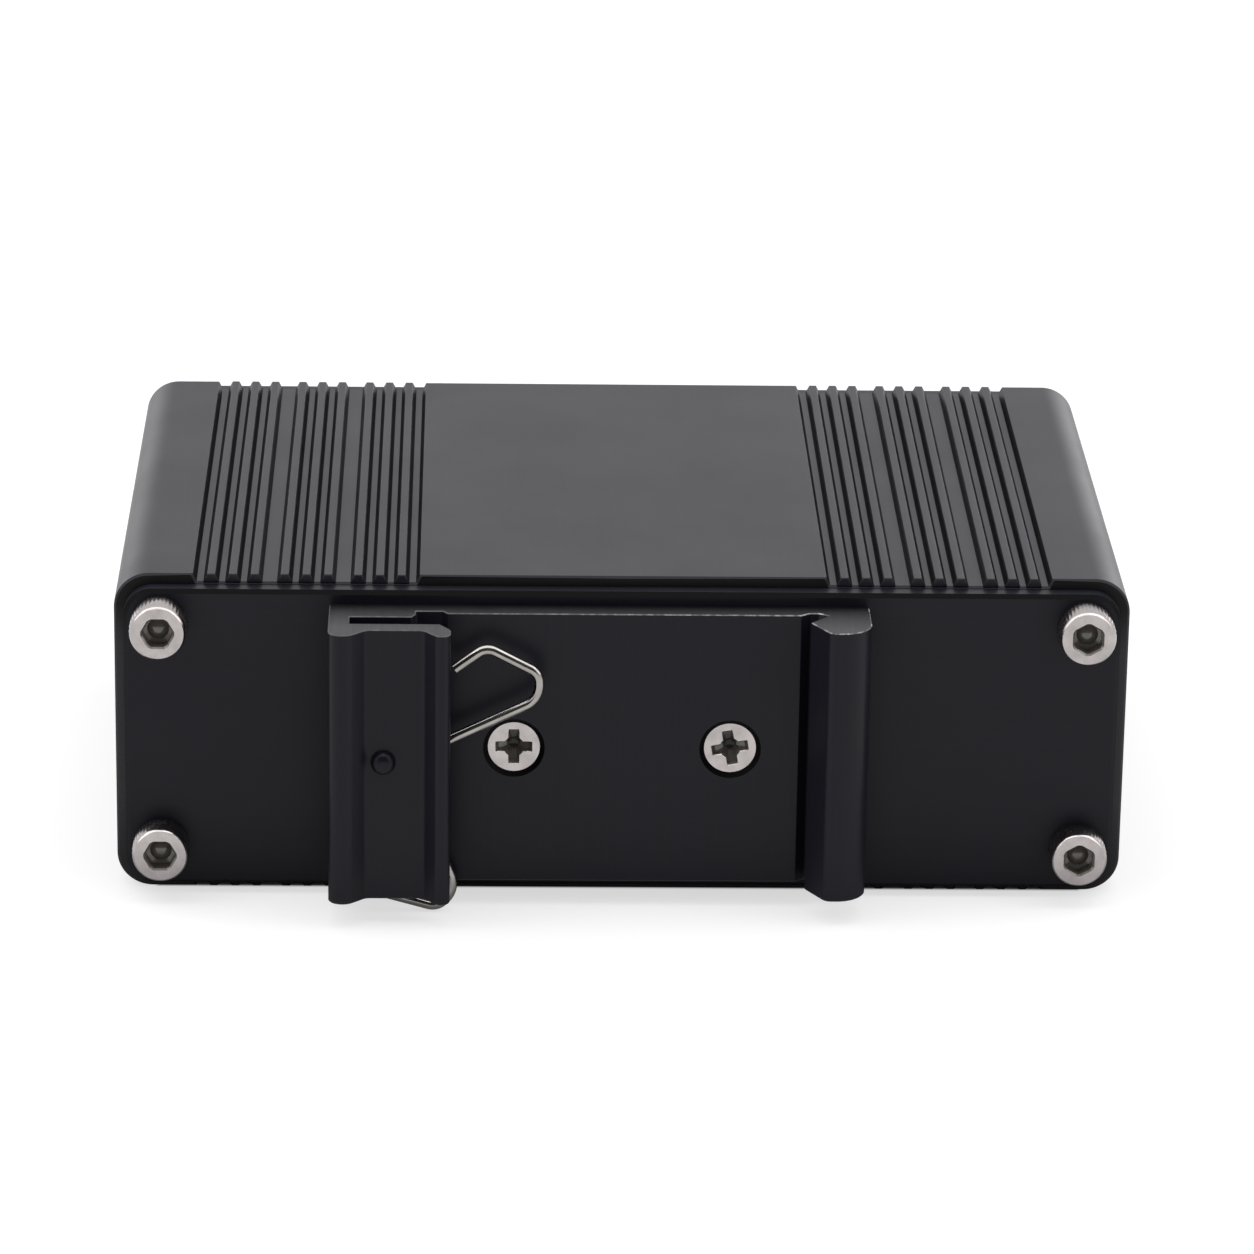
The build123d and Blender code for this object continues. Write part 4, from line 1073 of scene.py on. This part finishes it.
class SPLITTER_OT_spring(PieceOperator, bpy.types.Operator):
    """Builds the domed pin and the wire spring that rocks on it"""
    bl_idname = "splitter.spring"
    bl_label = "Spring and pin"

    def execute(self, context):
        sizes = context.scene.spring_sizes
        low, high = box_in_mm("spring_pin")
        x, _, z = (low + high) / 2
        rows = pin_rows(context.scene.clip_sizes, low.y, high.y)
        shell = Shell().lathe(rows, even_angles(48), lambda u, v, w: (x + u, w, z + v))
        fit(shell.piece("pin", ["blackened_pin"], 50.0), ["spring_pin"])

        level = middle_in_mm("wire_spring").y
        tilt = Matrix.Rotation(sizes.turn, 2)
        points = []
        for px, py, pz in wire_line(sizes):
            flat = tilt @ Vector((px, py))
            points.append(Vector((x + flat.x, level - pz, z + flat.y)) * MM)
        mesh = bpy.data.meshes.new("wire")
        mesh.from_pydata(points, [(k, k + 1) for k in range(len(points) - 1)], [])
        wire = new_object("wire", mesh)
        run_tree(wire, wire_tree(), {
            "Radius": sizes.wire / 2, "Sides": 20, "Finish": material("spring_wire")})
        tidy_mesh(wire.data, 50.0)
        fit(wire, ["wire_spring"], "spring")
        return {"FINISHED"}


def plug_window(x, board, grow):
    """The stepped opening for a plug, from the latch's nose upwards."""
    sill, plug, corner = board + 3.9, 6.9, 0.15
    right, last = [], None
    for half, bottom in ((1.8, sill - 2.5), (3.1, sill - 1.6), (5.9, sill)):
        if last:
            right.append((last, bottom - grow))
        last = half + grow
        right.append((last, bottom - grow))
    right.append((last, sill + plug + grow))
    corners = [(x + px, pz, corner) for px, pz in right]
    corners += [(x - px, pz, corner) for px, pz in right[::-1]]
    return rounded(corners, 30.0)


def jack_cover(port):
    """A folded cover: four walls, a back, and a front with the plug's window."""
    node, name = port + "_shield", port + "_cover"
    low, high = box_in_mm(node)
    middle, wide, tall = over_board(node)
    thick, fold, clear, bevel = 0.25, 0.5, 0.15, 0.12
    outside = rectangle(wide, tall, fold, middle, 15.0)
    inside = rectangle(wide - 2 * thick, tall - 2 * thick, fold - thick, middle, 15.0)
    window = plug_window(middle[0], middle[1] - tall / 2, clear)
    shell = Shell().prism([outside, window], (high.y - thick, high.y), (0.0, bevel))
    shell.prism([outside, inside], (low.y, high.y - thick))
    shell.prism([inside], (low.y, low.y + thick))
    fit(shell.piece(name, ["jack_shield"]), [node])


def port_lamps():
    """Two lamps, each with a flange, a barrel and a dome."""
    low, high = box_in_mm("status_leds")
    places, level, flange = lamp_places()
    dome, shoulder = 1.5, low.y + 1.0
    rows = [(0, low.y), (flange, low.y), (flange, shoulder), (dome, shoulder)]
    for lift in range(0, 90, 9):
        a = radians(lift)
        rows.append((dome * cos(a), high.y - dome + dome * sin(a)))
    rows.append((0, high.y))
    for name, x, finish in zip(("link_lamp", "power_lamp"), places, ("lamp_green", "lamp_amber")):
        shell = Shell().lathe(rows, even_angles(40), lambda u, v, w: (x + u, w, level + v))
        fit(shell.piece(name, [finish], 40.0), ["status_leds"])


class SPLITTER_OT_ports(PieceOperator, bpy.types.Operator):
    """Builds the jacks' shields and the lamps"""
    bl_idname = "splitter.ports"
    bl_label = "Ports and lamps"

    def execute(self, context):
        for port in ("poe_in", "data_out"):
            jack_cover(port)
        port_lamps()
        return {"FINISHED"}


# The solids that are kept, by the finish that they get.
CARRIED_OVER = {
    "board": ["circuit_board"],
    "jack_insert": ["poe_in_housing", "data_out_housing"],
    "contact": ["poe_in_contacts", "data_out_contacts"],
    "header": ["dc_out_header"],
    "tinned_pin": ["dc_out_pins", "status_led_legs", "magnetics_leads"],
    "package": ["data_magnetics", "bridge_rectifiers", "surge_suppressor", "device_controller",
                "switching_transistors", "output_rectifier", "feedback_coupler"],
    "ferrite": ["transformer_core", "output_inductor"],
    "bobbin": ["transformer_bobbin"],
    "winding_tape": ["transformer_winding"],
    "disc_coat": ["safety_capacitor"],
    "chip_body": ["small_chips"],
}


def cans(node, count):
    """Sleeved cans in a row along Y, with a rolled groove, a bung below and a pressed top."""
    low, high = box_in_mm(node)
    radius, x = (high.x - low.x) / 2, (low.x + high.x) / 2
    foot, top = low.z, high.z
    rows = [(0, foot + 0.3), (radius - 1.0, foot + 0.3), (radius - 0.8, foot), (radius - 0.25, foot),
            (radius, foot + 0.3), (radius, foot + 1.5), (radius - 0.3, foot + 1.8),
            (radius - 0.3, foot + 2.1), (radius, foot + 2.4), (radius, top - 0.5),
            (radius - 0.15, top - 0.12), (radius - 0.5, top), (radius - 0.8, top),
            (radius - 0.9, top - 0.15, 1), (0, top - 0.15, 1)]
    shell = Shell()
    for k in range(count):
        y = low.y + radius + k * (high.y - low.y - 2 * radius)
        shell.lathe(rows, even_angles(48), lambda u, v, w: (x + u, y + v, w))
    fit(shell.piece(node + "_sleeved", ["capacitor_can", "can_top"], 32.0), [node])


class SPLITTER_OT_inner_parts(PieceOperator, bpy.types.Operator):
    """Finishes the board, its parts and the inserts, whose solids are kept, and builds the cans"""
    bl_idname = "splitter.inner_parts"
    bl_label = "Board and inserts"

    def execute(self, context):
        for finish, nodes in CARRIED_OVER.items():
            for node in nodes:
                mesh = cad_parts[node].data
                mesh.materials.clear()
                mesh.materials.append(material(finish))
        for node, count in (("input_capacitor", 1), ("output_capacitors", 2)):
            cans(node, count)
        return {"FINISHED"}


def seen_white(name, reflectance, lift):
    """A lit pale surface to which white is added where the camera or a reflection sees it.

    The white fades out under the tube, a painted shadow that keeps the floor dark there, and for
    reflections it fades out further away, a painted contact shadow.
    """
    finish = Finish(name, (reflectance, reflectance, reflectance), 0.9, specular=0.0)
    tree = finish.tree
    glossy = tree.nodes.new("ShaderNodeLightPath").outputs["Is Glossy Ray"]
    # Painted shadow: the added white fades out near the tube.
    white = step(tree, "ShaderNodeMix", {
        0: glossy, 2: outside_tube(finish, lift, -0.0005, 0.0002),
        3: outside_tube(finish, lift, 0.0, 0.026)})
    feed(finish.shader, {
        "Base Color": rgba(finish.base), "Roughness": finish.roughness, "Emission Color": WHITE,
        "Emission Strength": reckon(tree, "MULTIPLY", seen_rays(tree), white)})
    return finish.material


def outside_tube(finish, lift, start, end):
    """The lift, brought down to nothing between two distances outside the tube's underside: painted shadow.
    """
    rounding = 0.0036
    beyond = []
    for axis, reach in (("X", TUBE_HIGH.x - rounding), ("Y", TUBE_HIGH.y)):
        off = reckon(finish.tree, "ABSOLUTE", finish.along("Object", axis))
        beyond.append(step(finish.tree, "ShaderNodeMapRange", {
            "Value": off, "From Min": reach + start, "From Max": reach + end, "To Max": lift},
            interpolation_type="SMOOTHSTEP"))
    return reckon(finish.tree, "MAXIMUM", *beyond)


def seen_rays(tree):
    """1 for camera, glossy and transmission rays, and 0 for the rays that light things."""
    path = tree.nodes.new("ShaderNodeLightPath").outputs
    kinds = ("Is Camera Ray", "Is Glossy Ray", "Is Transmission Ray")
    return reckon(tree, "MAXIMUM", *[path[kind] for kind in kinds])


def sheet(name, corners, faces, finish):
    """A piece of the stage made of a few large faces."""
    mesh = bpy.data.meshes.new(name)
    mesh.from_pydata(corners, [], faces)
    mesh.materials.append(finish)
    made = new_object(name, mesh)
    return made


def pale_floor(studio):
    half, level = 2.0, -5e-5
    corners = [(s * half, t * half, level) for s, t in ((-1, -1), (1, -1), (1, 1), (-1, 1))]
    sheet("floor", corners, [(0, 1, 2, 3)], seen_white("floor_white", studio.floor, studio.lift))


def surroundings():
    """White surroundings, dimmer as a light than where they are seen."""
    world = bpy.data.worlds.new("studio")
    world.use_nodes = True
    bpy.context.scene.world = world
    tree = world.node_tree
    dimmed, full = 0.55, 1.0
    level = step(tree, "ShaderNodeMapRange", {"Value": seen_rays(tree), "To Min": dimmed, "To Max": full})
    feed(tree.nodes["Background"], {"Color": WHITE, "Strength": level})


def studio_lamps(studio):
    middle, raised = (0.0, 0.0, 0.0), (0.0, 0.0, 0.02)
    area_lamp("top_lamp", (0.0, 0.05, 0.75), middle, (1.6, 0.7), studio.top_light)
    for side in (-1, 1):
        area_lamp("side_lamp", (side * 0.7, -0.2, 0.45), raised, (0.4, 0.5), studio.side_light)
    for side, power in ((-1, studio.rim_light * 0.55), (1, studio.rim_light)):
        lamp = area_lamp("rim_lamp", (side * 0.45, 1.0, 0.10), raised, (0.5, 0.22), power)
        lamp.visible_diffuse = False


def dark_card():
    """A dark screen bent up and over the camera, which only reflections see: painted dark reflections."""
    half, distance, steps, arc = 0.7, 0.9, 5, radians(60)
    corners = []
    for k in range(steps + 1):
        rise = arc * k / steps
        for x in (-half, half):
            corners.append((x, -distance * cos(rise), distance * sin(rise)))
    faces = [(2 * k, 2 * k + 1, 2 * k + 3, 2 * k + 2) for k in range(steps)]
    dark = Finish("card_dark", (0.11, 0.106, 0.10), 0.9, specular=0.0)
    card = sheet("dark_card", corners, faces, dark.done(dark.noise(50.0)))
    card.visible_camera = False
    card.visible_diffuse = False
    card.visible_shadow = False


def area_lamp(name, place, aim, size, power):
    lamp = bpy.data.lights.new(name, "AREA")
    lamp.shape = "RECTANGLE"
    lamp.size, lamp.size_y = size
    lamp.energy = power
    holder = new_object(name, lamp)
    away = Vector(place) - Vector(aim)
    holder.location = place
    holder.rotation_euler = away.to_track_quat("Z", "Y").to_euler()
    return holder


def photo_camera(context, studio):
    """The photograph's view: where the camera stands in millimetres, and its turns in degrees."""
    place, heading, dip, roll = (-13.707, -554.035, 215.311), -1.5406, 19.8324, 0.8864
    camera = bpy.data.cameras.new("camera")
    camera.lens = studio.lens
    camera.sensor_width = 36.0
    camera.clip_start = 0.01
    holder = new_object("camera", camera)
    turn = (Matrix.Rotation(radians(heading), 4, "Z")
            @ Matrix.Rotation(radians(90 - dip), 4, "X")
            @ Matrix.Rotation(radians(roll), 4, "Z"))
    holder.matrix_world = Matrix.Translation(Vector(place) * MM) @ turn
    context.scene.camera = holder


class SPLITTER_OT_stage(PieceOperator, bpy.types.Operator):
    """Builds the floor, the light and the camera"""
    bl_idname = "splitter.stage"
    bl_label = "Stage"

    def execute(self, context):
        studio = context.scene.studio
        pale_floor(studio)
        surroundings()
        studio_lamps(studio)
        dark_card()
        photo_camera(context, studio)
        context.scene.view_settings.view_transform = "Standard"
        return {"FINISHED"}


class SPLITTER_PT_panel(bpy.types.Panel):
    """Lists the building steps, the sizes and the colours"""
    bl_idname = "SPLITTER_PT_panel"
    bl_label = "Splitter box"
    bl_space_type = "VIEW_3D"
    bl_region_type = "UI"
    bl_category = "Splitter box"

    def draw(self, context):
        for name in STEPS:
            self.layout.operator("splitter." + name)
        for group in GROUPS:
            column = self.layout.column(align=True)
            settings = getattr(context.scene, group)
            for name in settings.bl_rna.properties.keys():
                if name not in ("rna_type", "name"):
                    column.prop(settings, name)


GROUPS = {"box_sizes": BoxSizes, "screw_sizes": ScrewSizes, "clip_sizes": ClipSizes,
          "spring_sizes": SpringSizes, "finishes": Finishes, "studio": Studio}
OPERATORS = (SPLITTER_OT_stage, SPLITTER_OT_tube, SPLITTER_OT_plates, SPLITTER_OT_cap_screws,
             SPLITTER_OT_clip, SPLITTER_OT_clip_screws, SPLITTER_OT_spring, SPLITTER_OT_ports,
             SPLITTER_OT_inner_parts)
STEPS = [operator.bl_idname.split(".")[1] for operator in OPERATORS]
CLASSES = (*GROUPS.values(), *OPERATORS, SPLITTER_PT_panel)


def register():
    for one in CLASSES:
        bpy.utils.register_class(one)
    for name, group in GROUPS.items():
        setattr(bpy.types.Scene, name, PointerProperty(type=group))


def unregister():
    for name in GROUPS:
        delattr(bpy.types.Scene, name)
    for one in reversed(CLASSES):
        bpy.utils.unregister_class(one)


def main():
    register()
    for name in STEPS:
        getattr(bpy.ops.splitter, name)()


if __name__ == "__main__":
    main()
